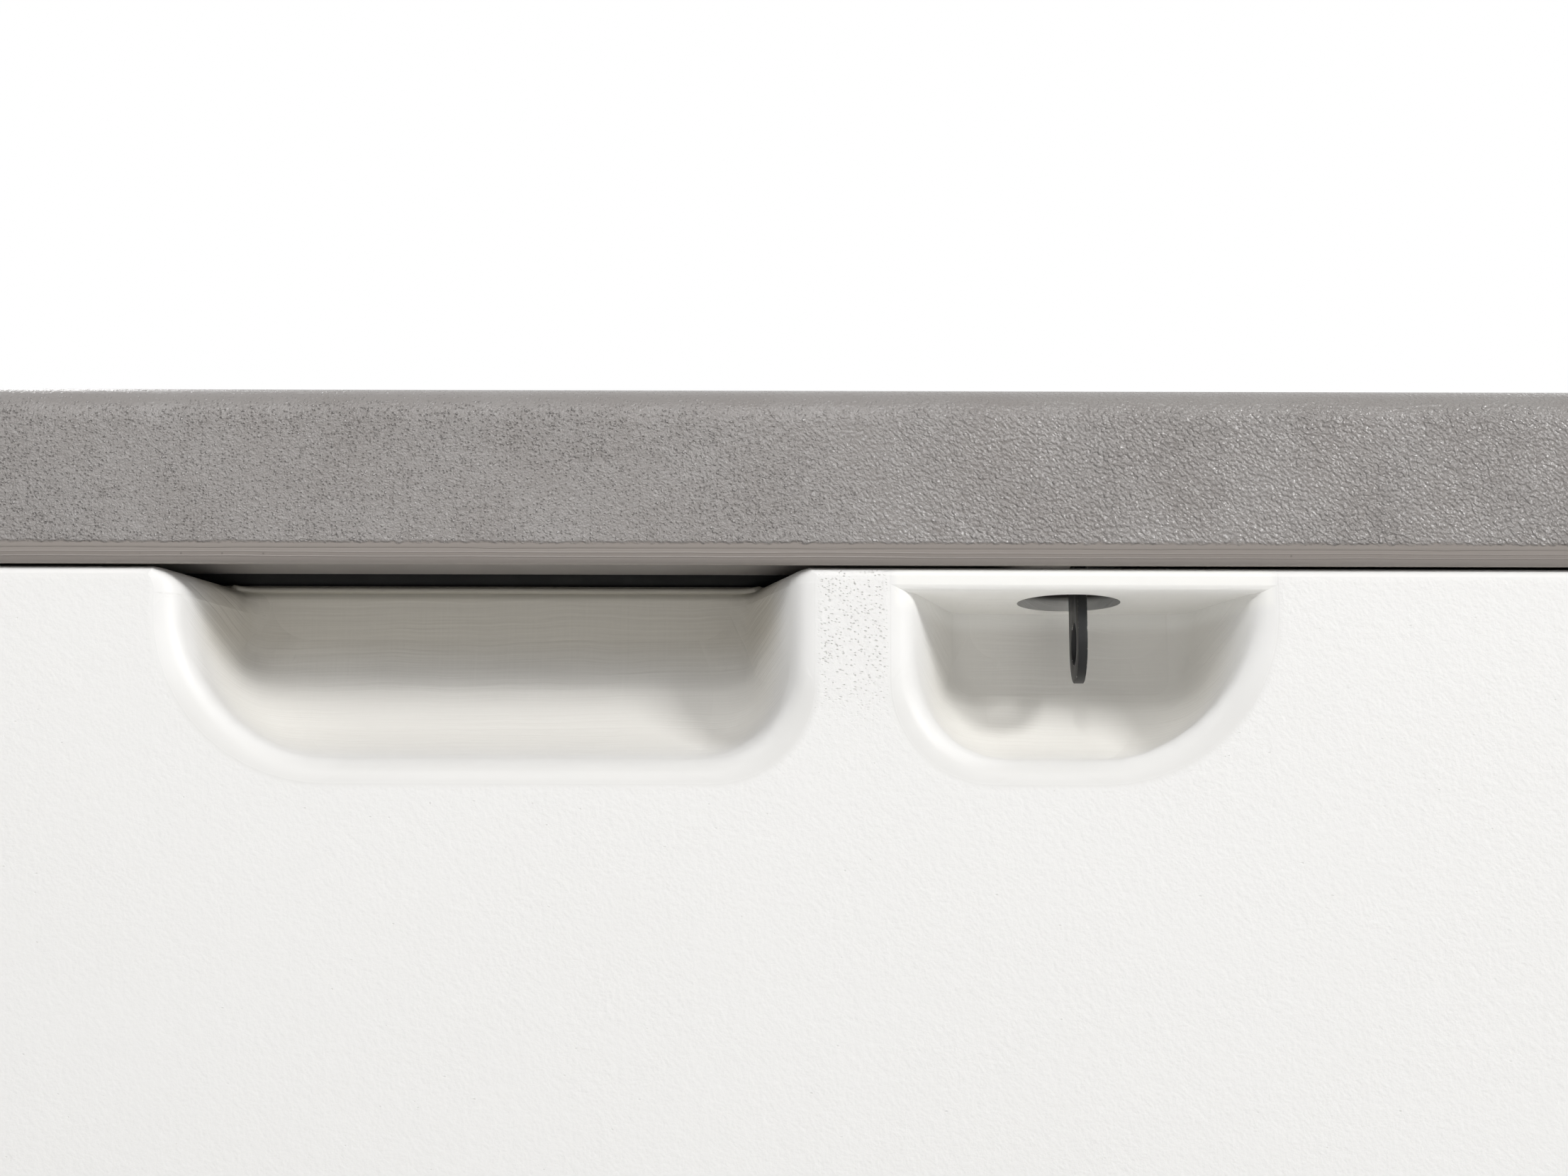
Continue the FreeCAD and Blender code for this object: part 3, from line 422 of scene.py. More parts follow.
# Taupe moulded lid: close pits towards the left, raised slanting knobs towards the right
lidPlastic = {
    "colour": (0.235, 0.217, 0.204),
    "light": (0.262, 0.246, 0.234),
    "brown": (0.150, 0.130, 0.117),
    "skin": (0.238, 0.211, 0.190),           # smooth lip and underside
    # painted glints: pale flecks beside the pits
    "fleck": (0.60, 0.58, 0.56),
    "roughness": 0.14,
    "skinRoughness": 0.18,                   # added where the lid is smooth
    "ior": 1.60,
    "perMetre": {"pits": 880.0, "knobs": 720.0, "lumps": 800.0, "rough": 620.0, "crinkle": 1350.0,
                 "swell": 105.0, "clusters": 26.0, "leftToRight": 9.0, "ragged": 330.0,
                 "waver": 22.0, "dots": 18.0, "patches": 36.0, "brown": 150.0,
                 "flow": (6.0, 420.0, 420.0)},
    "pitDepth": 0.46 * mm,
    "knobDepth": 0.58 * mm,
    "swellDepth": 0.25 * mm,
    "pitBend": 0.9 * mm,
    "knobBend": 1.2 * mm,
    "lip": 2.4 * mm,                         # smooth strip below the pebbled face
    "ragged": 2.2 * mm,
    "lipLines": (-0.85 * mm, -2.25 * mm),
    "dotRow": -1.5 * mm,
    "dotsEvery": 13.2 * mm,
    "bump": mm,
}


def makeLidPlastic():
    p = lidPlastic
    rate = p["perMetre"]
    finish = Finish("lidPlastic")
    step = finish.step
    noise = finish.noise
    x, y, z, at = finish.place()
    outGap = finish.roundedGap(x, y - box["lidMidY"], box["lidHalfX"], box["lidHalfY"], box["lidCornerR"])
    inFromEdge = -outGap
    up = z - box["lidZ"]

    # the outside is pebbled down to a ragged line just above the lower edge
    ragged = noise(at, rate["ragged"], 2.0, 0.6) * p["ragged"]
    outer = step(inFromEdge, 3.0 * mm, 1.5 * mm).most(step(up, 38 * mm, 41 * mm))
    pebbled = step(up - ragged, p["lip"] - 1.6 * mm, p["lip"] - 0.5 * mm) * outer

    # ragged pits and specks on the left, raised slanting knobs on the right
    towardsRight = step(x + noise(at, rate["leftToRight"], 2.0) * 0.14, -0.02, 0.24)
    towardsLeft = 1.0 - towardsRight
    slanted = finish.joined((x + z) * 0.84, (x - z) * 0.60, y)
    crinkle = noise(at, rate["crinkle"], 2.0, 0.6)
    swell = noise(at, rate["swell"], 2.0)
    clusters = noise(at, rate["clusters"], 2.0)
    rough = noise(at, rate["rough"], 2.0, 0.55)
    bent = finish.joined(x + rough * p["pitBend"], y, z * 1.15)
    pitSpot, pitChance, pitSize = finish.cells(bent, rate["pits"])
    pit = step(pitSpot, 0.34 + pitSize * 0.16, 0.04)
    pit = pit * step(pitChance + (clusters - 0.5) * 0.4, 0.20, 0.55)
    lumps = noise(slanted, rate["lumps"], 1.0, 0.40)
    leaning = finish.joined(x + lumps * p["knobBend"], y, z + rough * p["knobBend"])
    spot, chance, size = finish.cells(leaning, rate["knobs"])
    knob = step(spot, 0.50 + size * 0.30, 0.05) * (0.30 + 0.70 * chance)
    kept = step(chance, 0.40, 0.75)
    speck = step(spot, 0.42, 0.10) * kept
    # painted glints: pale flecks at the speck places on the left
    fleck = step(spot, 0.22, 0.08) * kept * pebbled * towardsLeft
    left = rough * 0.90 + crinkle * 0.95 + speck * 0.80 - pit
    right = step(lumps, 0.25, 0.75) * 0.75 + knob * 0.55 + crinkle * 0.20
    strong = step(clusters, 0.25, 0.75, 0.65, 1.25)
    high = step(up, 52 * mm, 44 * mm, 0.40, 1.0).most(step(inFromEdge, 10 * mm, 24 * mm))
    texture = left * p["pitDepth"] * towardsLeft + right * p["knobDepth"] * towardsRight
    texture = texture * strong * high

    # smooth lip, with the mould's fine lines and a row of small dots
    onLip = step(up, 0.6 * mm, 0.0) * step(inFromEdge, 6.5 * mm, 5.5 * mm)
    waver = (noise(finish.joined(x, y, 0.0), rate["waver"], 2.0) - 0.5) * 0.7 * mm
    lines = [step(abs(up - line - waver), 0.30 * mm, 0.05 * mm) * onLip for line in p["lipLines"]]
    flow = finish.streaks((x, inFromEdge, up), rate["flow"], 2.0, 0.5)
    dotX = finish.node("ShaderNodeMath", {"operation": "PINGPONG"}, {0: x, 1: p["dotsEvery"] / 2})
    dotR = (dotX ** 2.0 + (up - p["dotRow"]) ** 2.0) ** 0.5
    dot = step(dotR, 0.42 * mm, 0.22 * mm) * onLip * step(noise(at, rate["dots"], 1.0), 0.50, 0.56)
    ridges = (lines[0] + lines[1]) * 0.10 + flow * 0.05

    # smooth where it isn't pebbled; brown in patches and dots, brown in the pits as painted shade, and pale
    # painted glints beside the pits
    smooth = 1.0 - pebbled
    patches = noise(at, rate["patches"], 3.0, 0.6)
    brown = step(noise(at, rate["brown"], 2.0, 0.6), 0.58, 0.82) * 0.30 * pebbled
    # painted shade: the pits darker; the lip's dots are their own brown
    spots = (pit * pit * pebbled * towardsLeft * 0.32).most(dot * 0.9)
    colour = finish.mix(step(patches, 0.3, 0.75), p["colour"], p["light"])
    for mask, tint in ((smooth * outer.most(onLip), "skin"), (brown, "brown"), (spots, "brown"),
                       (fleck * 0.50, "fleck")):
        colour = finish.mix(mask, colour, p[tint])
    height = pebbled * (texture + swell * p["swellDepth"]) + ridges * smooth * mm
    worn = towardsRight * 0.08 + 0.12 * crinkle - 0.06 * pit
    gloss = p["roughness"] + pebbled * worn + p["skinRoughness"] * smooth
    normal = finish.bump(height / p["bump"], p["bump"])
    shader = finish.surface(Base_Color=colour, Roughness=gloss, Normal=normal, IOR=p["ior"])
    return finish.done(shader)


bodyFinish = makeBodyPlastic()
lidFinish = makeLidPlastic()
say("plastics mixed")

# Small parts' finishes
eyeCoat = {"colour": (0.017, 0.017, 0.017), "chip": (0.62, 0.60, 0.57), "roughness": 0.40, "ior": 1.34,
           "wornChips": (0.6, 0.90, 0.93), "fewChips": (0.4, 1.02, 1.04)}
steel = {"colour": (0.58, 0.57, 0.55), "roughness": 0.30, "brushPerMetre": 2600.0}
zinc = {"colour": (0.52, 0.52, 0.50), "tint": (0.60, 0.56, 0.46), "roughness": 0.36}
strutPaint = {"colour": (0.016, 0.016, 0.018), "roughness": 0.34}
chrome = {"colour": (0.72, 0.72, 0.74), "roughness": 0.09}
nylon = {"colour": (0.022, 0.022, 0.023), "roughness": 0.55}
rubber = {"colour": (0.017, 0.017, 0.017), "dust": (0.06, 0.058, 0.054), "roughness": 0.74, "ior": 1.5}
sealRubber = {"colour": (0.008, 0.008, 0.008), "dust": (0.020, 0.020, 0.019), "roughness": 0.80,
              "ior": 1.35}


def makeEyeCoat(worn):
    p = eyeCoat
    finish = Finish("eyeEdge" if worn else "eyeCoat")
    at = finish.where()
    orangePeel = finish.noise(at, 900.0, 2.0, 0.5)
    chips = finish.noise(at, 1500.0, 3.0, 0.65)
    runs = finish.noise(at, 260.0, 2.0, 0.5)
    share, start, full = p["wornChips"] if worn else p["fewChips"]
    chip = finish.step(chips + runs * share, start, full)
    colour = finish.mix(chip, p["colour"], p["chip"])
    height = orangePeel * 0.35 - chip * 0.5
    rough = p["roughness"] + orangePeel * 0.08
    shader = finish.surface(Base_Color=colour, Metallic=chip, Roughness=rough, IOR=p["ior"],
                            Normal=finish.bump(height, 0.05 * mm))
    return finish.done(shader)


def makeMetal(name, p, along, brushed=1.0, tint=None):
    finish = Finish(name)
    x, y, z, at = finish.place()
    fine = p.get("brushPerMetre", 1800.0)
    scales = [fine * (0.03 if axis == along else 1.0) for axis in "xyz"]
    brush = finish.streaks((x, y, z), scales, 3.0, 0.6)
    cloud = finish.noise(at, 45.0, 3.0, 0.55)
    spots = finish.noise(at, 700.0, 2.0, 0.6)
    shade = finish.step(cloud, 0.3, 0.7)
    darker = tuple(c * 0.80 for c in p["colour"])
    colour = finish.mix(shade * 0.6, p["colour"], tint or darker)
    rough = p["roughness"] + brush * 0.12 * brushed + finish.step(spots, 0.62, 0.78) * 0.14
    height = brush * brushed + spots * 0.3
    normal = finish.bump(height, 0.012 * mm)
    return finish.done(finish.surface(Base_Color=colour, Metallic=1.0, Roughness=rough, Normal=normal))


def makePaint(name, p, grain):
    finish = Finish(name)
    x, y, z, at = finish.place()
    peel = finish.noise(at, grain, 2.0, 0.5)
    cloud = finish.noise(at, 60.0, 3.0, 0.55)
    mark = finish.step(finish.streaks((x, y, z), (1800.0, 160.0, 160.0), 2.0, 0.6), 0.68, 0.76)
    paler = tuple(c * 3.0 + 0.01 for c in p["colour"])
    colour = finish.mix(mark * 0.25 + cloud * 0.15, p["colour"], paler)
    rough = p["roughness"] + peel * 0.10 + mark * 0.12
    shader = finish.surface(Base_Color=colour, Roughness=rough, Normal=finish.bump(peel, 0.03 * mm))
    return finish.done(shader)


def makeRubber(name, p):
    finish = Finish(name)
    at = finish.where()
    skin = finish.noise(at, 1400.0, 3.0, 0.6)
    cloud = finish.noise(at, 70.0, 3.0, 0.6)
    colour = finish.mix(finish.step(cloud, 0.45, 0.80) * 0.5, p["colour"], p["dust"])
    shader = finish.surface(Base_Color=colour, Roughness=p["roughness"] + skin * 0.12, IOR=p["ior"],
                            Normal=finish.bump(skin, 0.04 * mm))
    return finish.done(shader)


coatFinish = makeEyeCoat(False)
edgeFinish = makeEyeCoat(True)
steelFinish = makeMetal("brushedSteel", steel, "x")
screwFinish = makeMetal("screwSteel", steel, "x", brushed=0.3)
zincFinish = makeMetal("zincPlate", zinc, "z", brushed=0.25, tint=zinc["tint"])
strutFinish = makePaint("strutPaint", strutPaint, 500.0)
chromeFinish = makeMetal("rodChrome", chrome, "x", brushed=0.1)
nylonFinish = makePaint("socketNylon", nylon, 1200.0)
rubberFinish = makeRubber("footRubber", rubber)
sealFinish = makeRubber("sealRubber", sealRubber)
say("small parts' finishes mixed")

# What the frame's own solids wear
wears = {
    bodyFinish: ("body_shell",),
    lidFinish: ("lid_shell", "lid_vent_plug"),
    sealFinish: ("lid_seal",),
    steelFinish: ("hinge_pin_1", "hinge_pin_2", "hinge_pin_3"),
    strutFinish: ("strut_tube_left", "strut_tube_right"),
    chromeFinish: ("strut_rod_left", "strut_rod_right"),
    nylonFinish: ("strut_guide_left", "strut_guide_right", "strut_piston_left", "strut_piston_right",
                  "strut_upper_socket_left", "strut_upper_socket_right",
                  "strut_lower_socket_left", "strut_lower_socket_right"),
    zincFinish: ("lid_ball_stud_left", "lid_ball_stud_right",
                 "body_ball_stud_left", "body_ball_stud_right"),
}
for finish, names in wears.items():
    for name in names:
        nodes[name].data.materials.clear()
        nodes[name].data.materials.append(finish)
say("frame's solids dressed")


# How forms are merged, softened and shaded
forms = {"mergeWithin": 0.002 * mm, "flatDeg": 0.6, "sharpDeg": 35.0, "bevelSegments": 2}


def makePiece(name, bm, finishes, body, replaced=(), sharpDeg=forms["sharpDeg"]):
    for face in bm.faces:
        face.smooth = True
    for edge in bm.edges:
        edge.smooth = len(edge.link_faces) == 2 and edge.calc_face_angle(0.0) < math.radians(sharpDeg)
    mesh = bpy.data.meshes.new(name)
    bm.to_mesh(mesh)
    bm.free()
    for finish in finishes:
        mesh.materials.append(finish)
    piece = bpy.data.objects.new(name, mesh)
    bpy.context.scene.collection.objects.link(piece)
    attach(piece, body)
    if replaced:
        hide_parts(*replaced)


def mergedCopy(node):        # a frame solid's own form as one closed mesh
    copied = nodes[node].data.copy()
    normals = copied.attributes.get("custom_normal")
    if normals:
        copied.attributes.remove(normals)
    bm = bmesh.new()
    bm.from_mesh(copied)
    bpy.data.meshes.remove(copied)
    bmesh.ops.remove_doubles(bm, verts=bm.verts, dist=forms["mergeWithin"])
    return bm


def softened(node, width):   # a frame solid's own form with bevelled edges
    bm = mergedCopy(node)
    flat = math.radians(forms["flatDeg"])
    bmesh.ops.dissolve_limit(bm, angle_limit=flat, verts=bm.verts, edges=bm.edges)
    limit = math.radians(forms["sharpDeg"])
    sharp = [e for e in bm.edges if len(e.link_faces) == 2 and e.calc_face_angle(0.0) > limit]
    bmesh.ops.bevel(bm, geom=sharp, offset=width, offset_type="OFFSET", segments=forms["bevelSegments"],
                    profile=0.5, affect="EDGES", clamp_overlap=True, material=-1)
    return bm


def solidBoxes(node):        # lowest and highest corner of each solid in a node
    bm = mergedCopy(node)
    left = set(bm.verts)
    found = []
    while left:
        reach = [left.pop()]
        points = []
        while reach:
            vert = reach.pop()
            points.append(vert.co.copy())
            for edge in vert.link_edges:
                other = edge.other_vert(vert)
                if other in left:
                    left.remove(other)
                    reach.append(other)
        low = Vector([min(p[i] for p in points) for i in range(3)])
        high = Vector([max(p[i] for p in points) for i in range(3)])
        found.append((low, high))
    bm.free()
    return sorted(found, key=lambda pair: [round(v, 5) for v in pair[0]])


# Lock-eye with softened, chipped edges; faces on its bevels lean between these amounts from X
eyeEdge = {"width": 0.35 * mm, "leanX": (0.12, 0.97)}


def makeLockEye():
    bm = softened("lock_eye", eyeEdge["width"])
    bm.normal_update()
    least, most = eyeEdge["leanX"]
    for face in bm.faces:
        face.material_index = 1 if least < abs(face.normal.x) < most else 0
    makePiece("lockEye", bm, (coatFinish, edgeFinish), "lid", ("lock_eye",))


makeLockEye()
say("lock-eye made")

# The lid's rounded lower lip along its front and sides, and the mould's parting line all round above it
lidLip = {"inset": 2.7 * mm, "across": 2.5 * mm, "down": 4.5 * mm, "sides": 20, "endBefore": 60 * mm,
          "fade": 24 * mm, "sink": 0.4 * mm}
partingLine = {"radius": 0.34 * mm, "sides": 8, "out": 0.36 * mm, "up": 0.75 * mm, "wave": 0.22 * mm,
               "waves": ((9.1, 0.0, 0.5), (17.7, 1.3, 0.3), (41.0, 0.4, 0.2))}
sweep = {"pieceLength": 9 * mm, "cornerSteps": 14, "mergeWithin": 0.01 * mm, "sharpDeg": 80.0}
lidEdge = {
    "frontY": box["lidMidY"] - box["lidHalfY"],
    "straightX": box["lidHalfX"] - box["lidCornerR"],
    "straightY": 2 * (box["lidHalfY"] - box["lidCornerR"]),
}


def carried(bm, geometry, run, way):         # carries a section along a straight run
    count = max(1, round(run / sweep["pieceLength"]))
    made = bmesh.ops.spin(bm, geom=geometry, cent=(0, 0, 0), axis=(0, 0, 1), angle=0.0, steps=count,
                          dvec=Vector(way) * (run / count), use_merge=False, use_duplicate=False)
    return made["geom_last"]


def turned(bm, geometry, centre, angle):     # carries a section round an upright axis
    made = bmesh.ops.spin(bm, geom=geometry, cent=centre, axis=(0, 0, 1), angle=angle,
                          steps=sweep["cornerSteps"], dvec=(0, 0, 0), use_merge=False,
                          use_duplicate=False)
    return made["geom_last"]


def capped(bm, section):                     # closes a section's end with a face
    bmesh.ops.contextual_create(bm, geom=[e for e in section if isinstance(e, bmesh.types.BMEdge)])


def sectionAt(bm, place, sides, across, up):     # an ellipse that stands across the X axis
    bmesh.ops.create_circle(bm, cap_ends=False, radius=1.0, segments=sides)
    stand = Matrix.Rotation(math.radians(90), 4, "Y")
    size = Matrix.Diagonal((1.0, across, up, 1.0))
    bmesh.ops.transform(bm, matrix=Matrix.Translation(place) @ size @ stand, verts=bm.verts)
    return list(bm.verts) + list(bm.edges)


def makeLidLip():
    p = lidLip
    bm = bmesh.new()
    frontY = lidEdge["frontY"]
    straightX = lidEdge["straightX"]
    straightY = lidEdge["straightY"] - p["endBefore"]
    section = sectionAt(bm, (0, frontY + p["inset"], box["lidZ"]), p["sides"], p["across"], p["down"])
    section = carried(bm, section, straightX, (1, 0, 0))
    section = turned(bm, section, (straightX, frontY + box["lidCornerR"], 0), math.pi / 2)
    capped(bm, carried(bm, section, straightY, (0, 1, 0)))
    endY = frontY + box["lidCornerR"] + straightY
    for vert in bm.verts:                    # its ends run up into the lid
        share = min(max((vert.co.y - (endY - p["fade"])) / p["fade"], 0.0), 1.0)
        vert.co.z += (p["down"] + p["sink"]) * share * share * (3 - 2 * share)
    whole = list(bm.verts) + list(bm.edges) + list(bm.faces)
    bmesh.ops.mirror(bm, geom=whole, axis="X", merge_dist=sweep["mergeWithin"])
    bmesh.ops.remove_doubles(bm, verts=bm.verts, dist=sweep["mergeWithin"])
    bmesh.ops.recalc_face_normals(bm, faces=bm.faces)
    makePiece("lidLip", bm, (lidFinish,), "lid", sharpDeg=sweep["sharpDeg"])


def makePartingLine():
    p = partingLine
    bm = bmesh.new()
    straightX = lidEdge["straightX"]
    straightY = lidEdge["straightY"]
    start = (0, lidEdge["frontY"] + p["out"], box["lidZ"] + p["up"])
    section = sectionAt(bm, start, p["sides"], p["radius"], p["radius"])
    for run, way, corner in ((straightX, (1, 0, 0), (1, -1)), (straightY, (0, 1, 0), (1, 1)),
                             (2 * straightX, (-1, 0, 0), (-1, 1)), (straightY, (0, -1, 0), (-1, -1))):
        section = carried(bm, section, run, way)
        centre = (corner[0] * straightX, box["lidMidY"] + corner[1] * straightY / 2, 0)
        section = turned(bm, section, centre, math.pi / 2)
    carried(bm, section, straightX, (1, 0, 0))
    bmesh.ops.remove_doubles(bm, verts=bm.verts, dist=sweep["mergeWithin"])
    for vert in bm.verts:                    # it wavers a little
        along = vert.co.x * 7.0 + vert.co.y * 9.0
        wave = sum(math.sin(along * rate + shift) * share for rate, shift, share in p["waves"])
        vert.co.z += wave * p["wave"]
    bmesh.ops.recalc_face_normals(bm, faces=bm.faces)
    makePiece("lidPartingLine", bm, (lidFinish,), "lid", sharpDeg=sweep["sharpDeg"])


makeLidLip()
makePartingLine()
say("lid's lower edge made")

# The soft lip along the top of the hand grip's back wall
gripLip = {"left": -155.9 * mm, "right": 5.3 * mm, "depth": 46.0 * mm, "cornerR": 6.6 * mm, "turnDeg": 68.0,
           "up": 0.4 * mm, "thick": 1.5 * mm, "tall": 1.15 * mm, "sides": 12, "sink": 2.4 * mm}


def makeGripLip():
    p = gripLip
    turn = math.radians(p["turnDeg"])
    for side, name in ((1, "gripLipRight"), (-1, "gripLipLeft")):
        bm = bmesh.new()
        middle = (p["left"] + p["right"]) / 2
        half = (p["right"] - p["left"]) / 2
        wallY = box["faceY"] + p["depth"]
        section = sectionAt(bm, (middle, wallY, box["rimZ"] + p["up"]), p["sides"], p["thick"], p["tall"])
        section = carried(bm, section, half, (side, 0, 0))
        corner = Vector((middle + side * half, wallY - p["cornerR"], 0))
        capped(bm, turned(bm, section, corner, -side * turn))
        for vert in bm.verts:                # its end sinks into the wall round the corner
            out = Vector((vert.co.x - corner.x, vert.co.y - corner.y, 0))
            share = max(math.atan2(side * out.x, out.y), 0.0) / turn
            vert.co += out.normalized() * p["sink"] * share * share
        bmesh.ops.recalc_face_normals(bm, faces=bm.faces)
        makePiece(name, bm, (bodyFinish,), "body", sharpDeg=sweep["sharpDeg"])


makeGripLip()
say("grip's lip made")

# Hinge leaves, strut brackets and backing plates with softened edges
plates = {
    "stainless": {"width": 0.35 * mm, "finish": steelFinish, "nodes": (
        ("hinge_body_leaf_1", "body"), ("hinge_body_leaf_2", "body"), ("hinge_body_leaf_3", "body"),
        ("hinge_lid_leaf_1", "lid"), ("hinge_lid_leaf_2", "lid"), ("hinge_lid_leaf_3", "lid"),
        ("hinge_backing_plates", "body"))},
    "bracket_steel": {"width": 0.40 * mm, "finish": zincFinish, "nodes": (
        ("lid_bracket_left", "lid"), ("lid_bracket_right", "lid"),
        ("body_bracket_left", "body"), ("body_bracket_right", "body"))},
}


def camel(node):             # a node's name as a piece's name
    words = node.split("_")
    return words[0] + "".join(word.capitalize() for word in words[1:])


for slotName, group in plates.items():
    for node, body in group["nodes"]:
        makePiece(camel(node), softened(node, group["width"]), (group["finish"],), body, (node,))
say("plates and leaves made")

# Screws, bolts and nuts, each where the frame has its solid
fastener = {
    "segments": 24,
    "recessAcross": 0.52,        # of the head's width
    "recessDepth": 0.55,         # of the head's height
    "threadPitch": 0.9 * mm,
    "threadDepth": 0.22 * mm,
    "nutBevel": 0.35 * mm,
    "sharpDeg": 32.0,
    "hingeScrew": {"headHeight": 2.8 * mm, "shankR": 2.5 * mm},
    "bracketScrew": {"headHeight": 2.6 * mm, "shankR": 2.5 * mm},
    "footBolt": {"headHeight": 4.0 * mm, "shankR": 3.0 * mm},
    "eyeScrew": {"headHeight": 2.1 * mm, "shankR": 2.5 * mm},
    "hingeNut": {"boreR": 2.6 * mm},
    "footNut": {"boreR": 3.1 * mm},
}


def ringStack(bm, rings, closed=False):
    # rings are (corners, radius, height): six corners for a hexagon, none for a circle
    loops = []
    for corners, radius, height in rings:
        made = bmesh.ops.create_circle(bm, cap_ends=False, radius=radius, segments=fastener["segments"])
        for vert in made["verts"]:
            if corners:
                half = math.pi / corners
                turn = math.atan2(vert.co.y, vert.co.x) % (2 * half) - half
                vert.co *= math.cos(half) / math.cos(turn)
            vert.co.z = height
        loops.append(list(dict.fromkeys(e for v in made["verts"] for e in v.link_edges)))
    if closed:
        loops.append(loops[0])
    else:
        for loop in (loops[0], loops[-1]):
            bmesh.ops.contextual_create(bm, geom=loop)
    for first, second in zip(loops, loops[1:]):
        bmesh.ops.bridge_loops(bm, edges=first + second)


def screwRings(headR, headHeight, shankR, length, flush=False):
    # from the tip up the shank to the head and down into its hexagon recess; the head's seat is at 0
    deep = fastener["threadDepth"]
    pitch = fastener["threadPitch"]
    rings = [(0, shankR - 2 * deep, -length), (0, shankR - deep, -length + 0.4 * mm)]
    count = int(min(length * 0.7, 9 * mm) / pitch)
    for i in range(count):
        z = -length + 0.4 * mm + i * pitch
        rings += [(0, shankR, z + pitch * 0.4), (0, shankR - deep, z + pitch * 0.9)]
    rings.append((0, shankR, -length + 0.6 * mm + count * pitch))
    recess = headR * fastener["recessAcross"]
    if flush:
        rimR = headR - 0.15 * mm
        top = -0.02 * mm
        rings += [(0, shankR, -(headR - shankR)), (0, rimR, -0.2 * mm), (0, rimR, top)]
        deepest = -headHeight * 0.9
    else:
        top = headHeight
        deepest = headHeight * (1 - fastener["recessDepth"])
        upright = headHeight * 0.45
        domed = headHeight * 0.55
        rings += [(0, shankR, 0.0), (0, headR - 0.1 * mm, 0.0), (0, headR, 0.15 * mm), (0, headR, upright)]
        for share in (0.3, 0.6, 0.85, 1.0):
            turn = share * math.pi / 2
            rings.append((0, headR - domed * (1 - math.cos(turn)), upright + domed * math.sin(turn)))
    rings += [(0, recess * 1.14, top), (6, recess, top - 0.12 * mm), (6, recess, deepest)]
    return rings


def aimed(point, axis):      # carries a piece built along +Z to a point and an axis
    turn = Vector(axis).to_track_quat("Z", "Y").to_matrix().to_4x4()
    return Matrix.Translation(point) @ turn


def makeFasteners(node, axis, body, build, finish):
    bm = bmesh.new()
    for low, high in solidBoxes(node):
        single = bmesh.new()
        axisNow = axis(low, high) if callable(axis) else axis
        along = [i for i in range(3) if axisNow[i]][0]
        middle = (low + high) / 2
        width = min(high[i] - low[i] for i in range(3) if i != along)
        length = high[along] - low[along]
        top = middle.copy()
        top[along] = high[along] if axisNow[along] > 0 else low[along]
        build(single, width, length)
        bmesh.ops.transform(single, matrix=aimed(top, axisNow), verts=single.verts)
        bmesh.ops.recalc_face_normals(single, faces=single.faces)
        spare = bpy.data.meshes.new("spare")
        single.to_mesh(spare)
        single.free()
        bm.from_mesh(spare)
        bpy.data.meshes.remove(spare)
    makePiece(camel(node), bm, (finish,), body, (node,), fastener["sharpDeg"])


def panHead(headHeight, shankR):
    def build(bm, width, length):
        rings = screwRings(width / 2, headHeight, shankR, length - headHeight)
        ringStack(bm, [(c, r, z - headHeight) for c, r, z in rings])
    return build


def flushHead(headHeight, shankR):
    def build(bm, width, length):
        ringStack(bm, screwRings(width / 2, headHeight, shankR, length, flush=True))
    return build


def hexNut(boreR):
    def build(bm, width, length):
        across = width / 2 / math.cos(math.pi / 6)
        inset = fastener["nutBevel"]
        flat = width / 2
        rings = [(0, boreR + inset, -length), (0, flat - 0.1 * mm, -length), (6, across, -length + inset),
                 (6, across, -inset), (0, flat - 0.1 * mm, 0.0), (0, boreR + inset, 0.0),
                 (0, boreR, -inset), (0, boreR, inset - length)]
        ringStack(bm, rings, closed=True)
    return build


def outwards(low, high):
    return (-1, 0, 0) if low.x > 0 else (1, 0, 0)


hingeHead = panHead(**fastener["hingeScrew"])
bracketHead = panHead(**fastener["bracketScrew"])
footHead = panHead(**fastener["footBolt"])
makeFasteners("hinge_bolts", (0, 1, 0), "body", hingeHead, screwFinish)
makeFasteners("hinge_lid_screws", (0, 1, 0), "lid", hingeHead, screwFinish)
makeFasteners("hinge_nuts", (0, -1, 0), "body", hexNut(**fastener["hingeNut"]), screwFinish)
makeFasteners("lid_bracket_screws", (0, 0, -1), "lid", bracketHead, screwFinish)
makeFasteners("body_bracket_screws", outwards, "body", bracketHead, screwFinish)
makeFasteners("foot_bolts", (0, 0, -1), "body", footHead, screwFinish)
makeFasteners("foot_nuts", (0, 0, 1), "body", hexNut(**fastener["footNut"]), screwFinish)
makeFasteners("lock_eye_screws", (0, 0, -1), "lid", flushHead(**fastener["eyeScrew"]),
              coatFinish)
say("fasteners made")

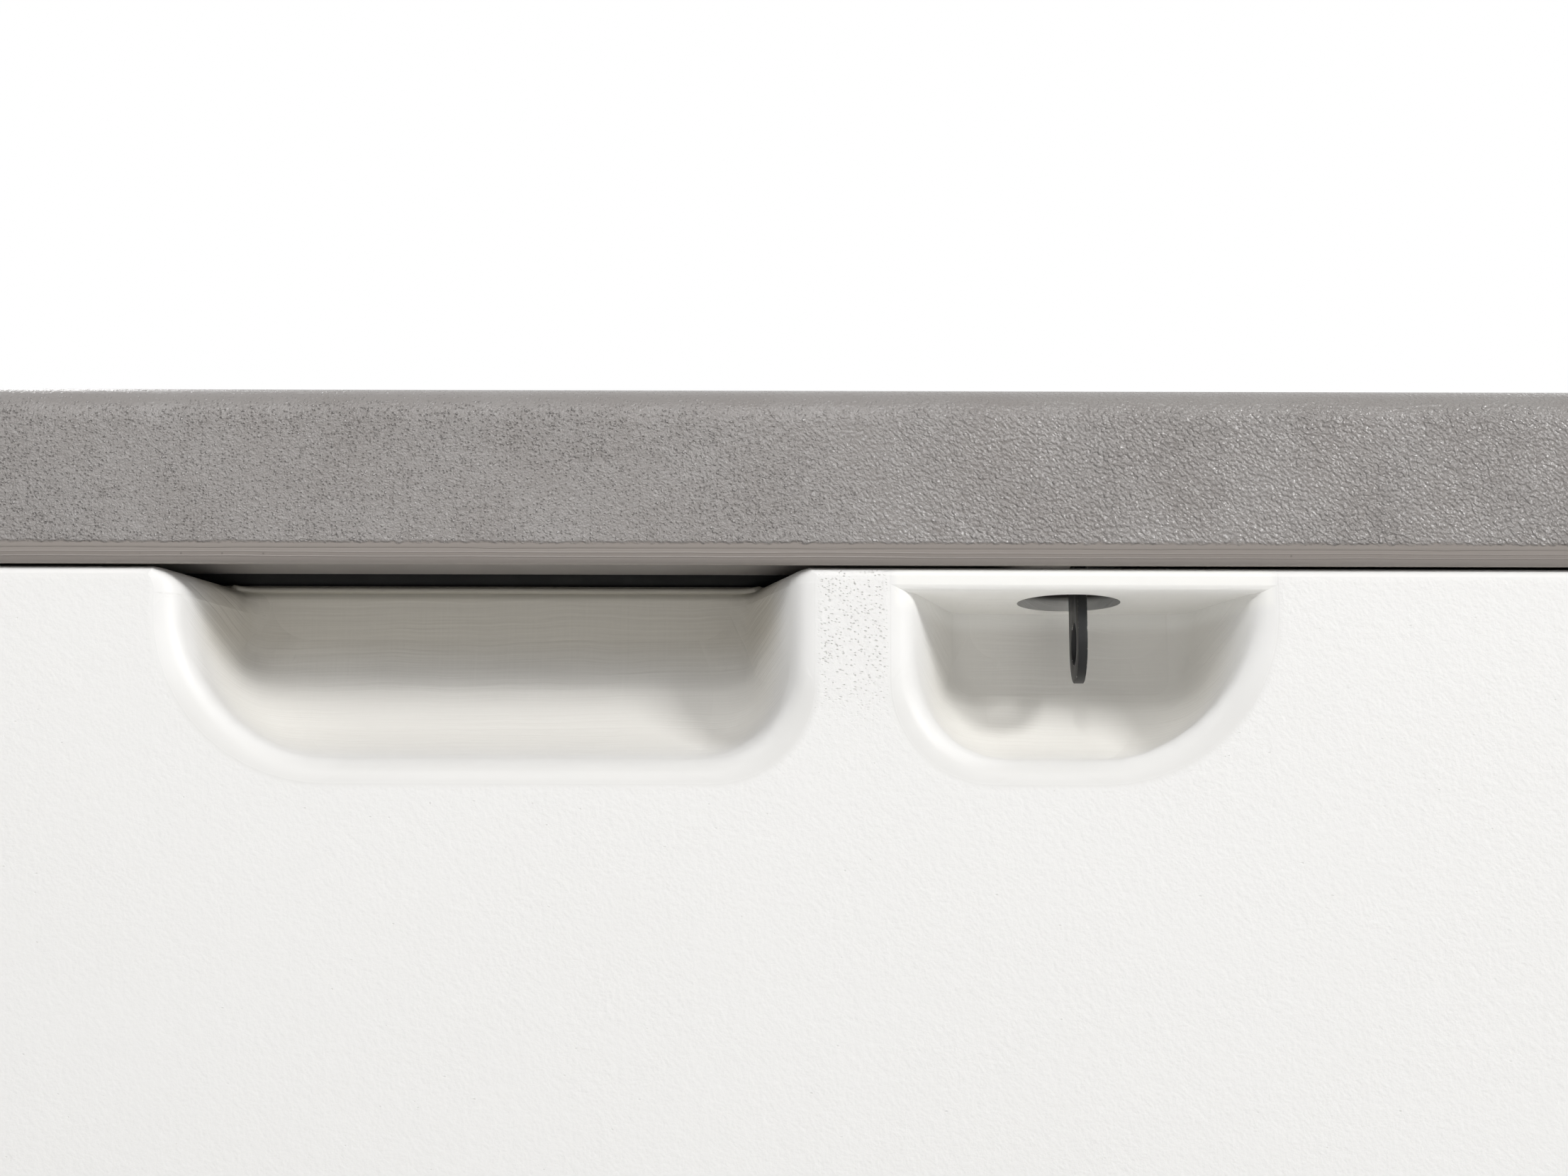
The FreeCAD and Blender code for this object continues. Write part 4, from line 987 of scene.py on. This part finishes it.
# Rubber feet with a rounded sole and a groove in it
footForm = {"topR": 26.0 * mm, "soleR": 22.0 * mm, "boreR": 3.15 * mm, "seatR": 8.0 * mm,
            "seatDepth": 6.0 * mm, "edge": 2.2 * mm, "groove": (13.2 * mm, 16.8 * mm, 1.1 * mm),
            "steps": 56, "sharpDeg": 40.0}


def makeFoot(node):
    p = footForm
    low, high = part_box(node)
    middle = (low + high) / 2
    tall = high.z - low.z
    inner, outer, deep = p["groove"]
    edge = p["edge"]
    profile = [(p["boreR"], tall), (p["topR"] - 0.5 * mm, tall), (p["topR"] - 0.1 * mm, tall - 0.5 * mm),
               (p["topR"] - 0.8 * mm, tall * 0.66), (p["soleR"] + 1.0 * mm, tall * 0.3),
               (p["soleR"] + 0.1 * mm, edge)]
    for share in (0.35, 0.7, 1.0):
        turn = share * math.pi / 2
        profile.append((p["soleR"] - edge * (1 - math.cos(turn)), edge * (1 - math.sin(turn))))
    profile += [(outer, 0.0), (outer - 0.5 * mm, deep), (inner + 0.5 * mm, deep), (inner, 0.0),
                (p["seatR"] + 0.7 * mm, 0.0), (p["seatR"], 0.7 * mm), (p["seatR"], p["seatDepth"]),
                (p["boreR"], p["seatDepth"])]
    bm = bmesh.new()
    verts = [bm.verts.new((r, 0, z)) for r, z in profile]
    edges = [bm.edges.new((a, b)) for a, b in zip(verts, verts[1:] + verts[:1])]
    bmesh.ops.spin(bm, geom=verts + edges, cent=(0, 0, 0), axis=(0, 0, 1), angle=2 * math.pi,
                   steps=p["steps"], dvec=(0, 0, 0), use_merge=True, use_duplicate=False)
    bmesh.ops.remove_doubles(bm, verts=bm.verts, dist=0.001 * mm)
    bmesh.ops.transform(bm, matrix=Matrix.Translation((middle.x, middle.y, low.z)), verts=bm.verts)
    bmesh.ops.recalc_face_normals(bm, faces=bm.faces)
    makePiece(camel(node), bm, (rubberFinish,), "body", (node,), p["sharpDeg"])


for footName in ("foot_1", "foot_2", "foot_3", "foot_4"):
    makeFoot(footName)
say("feet made")
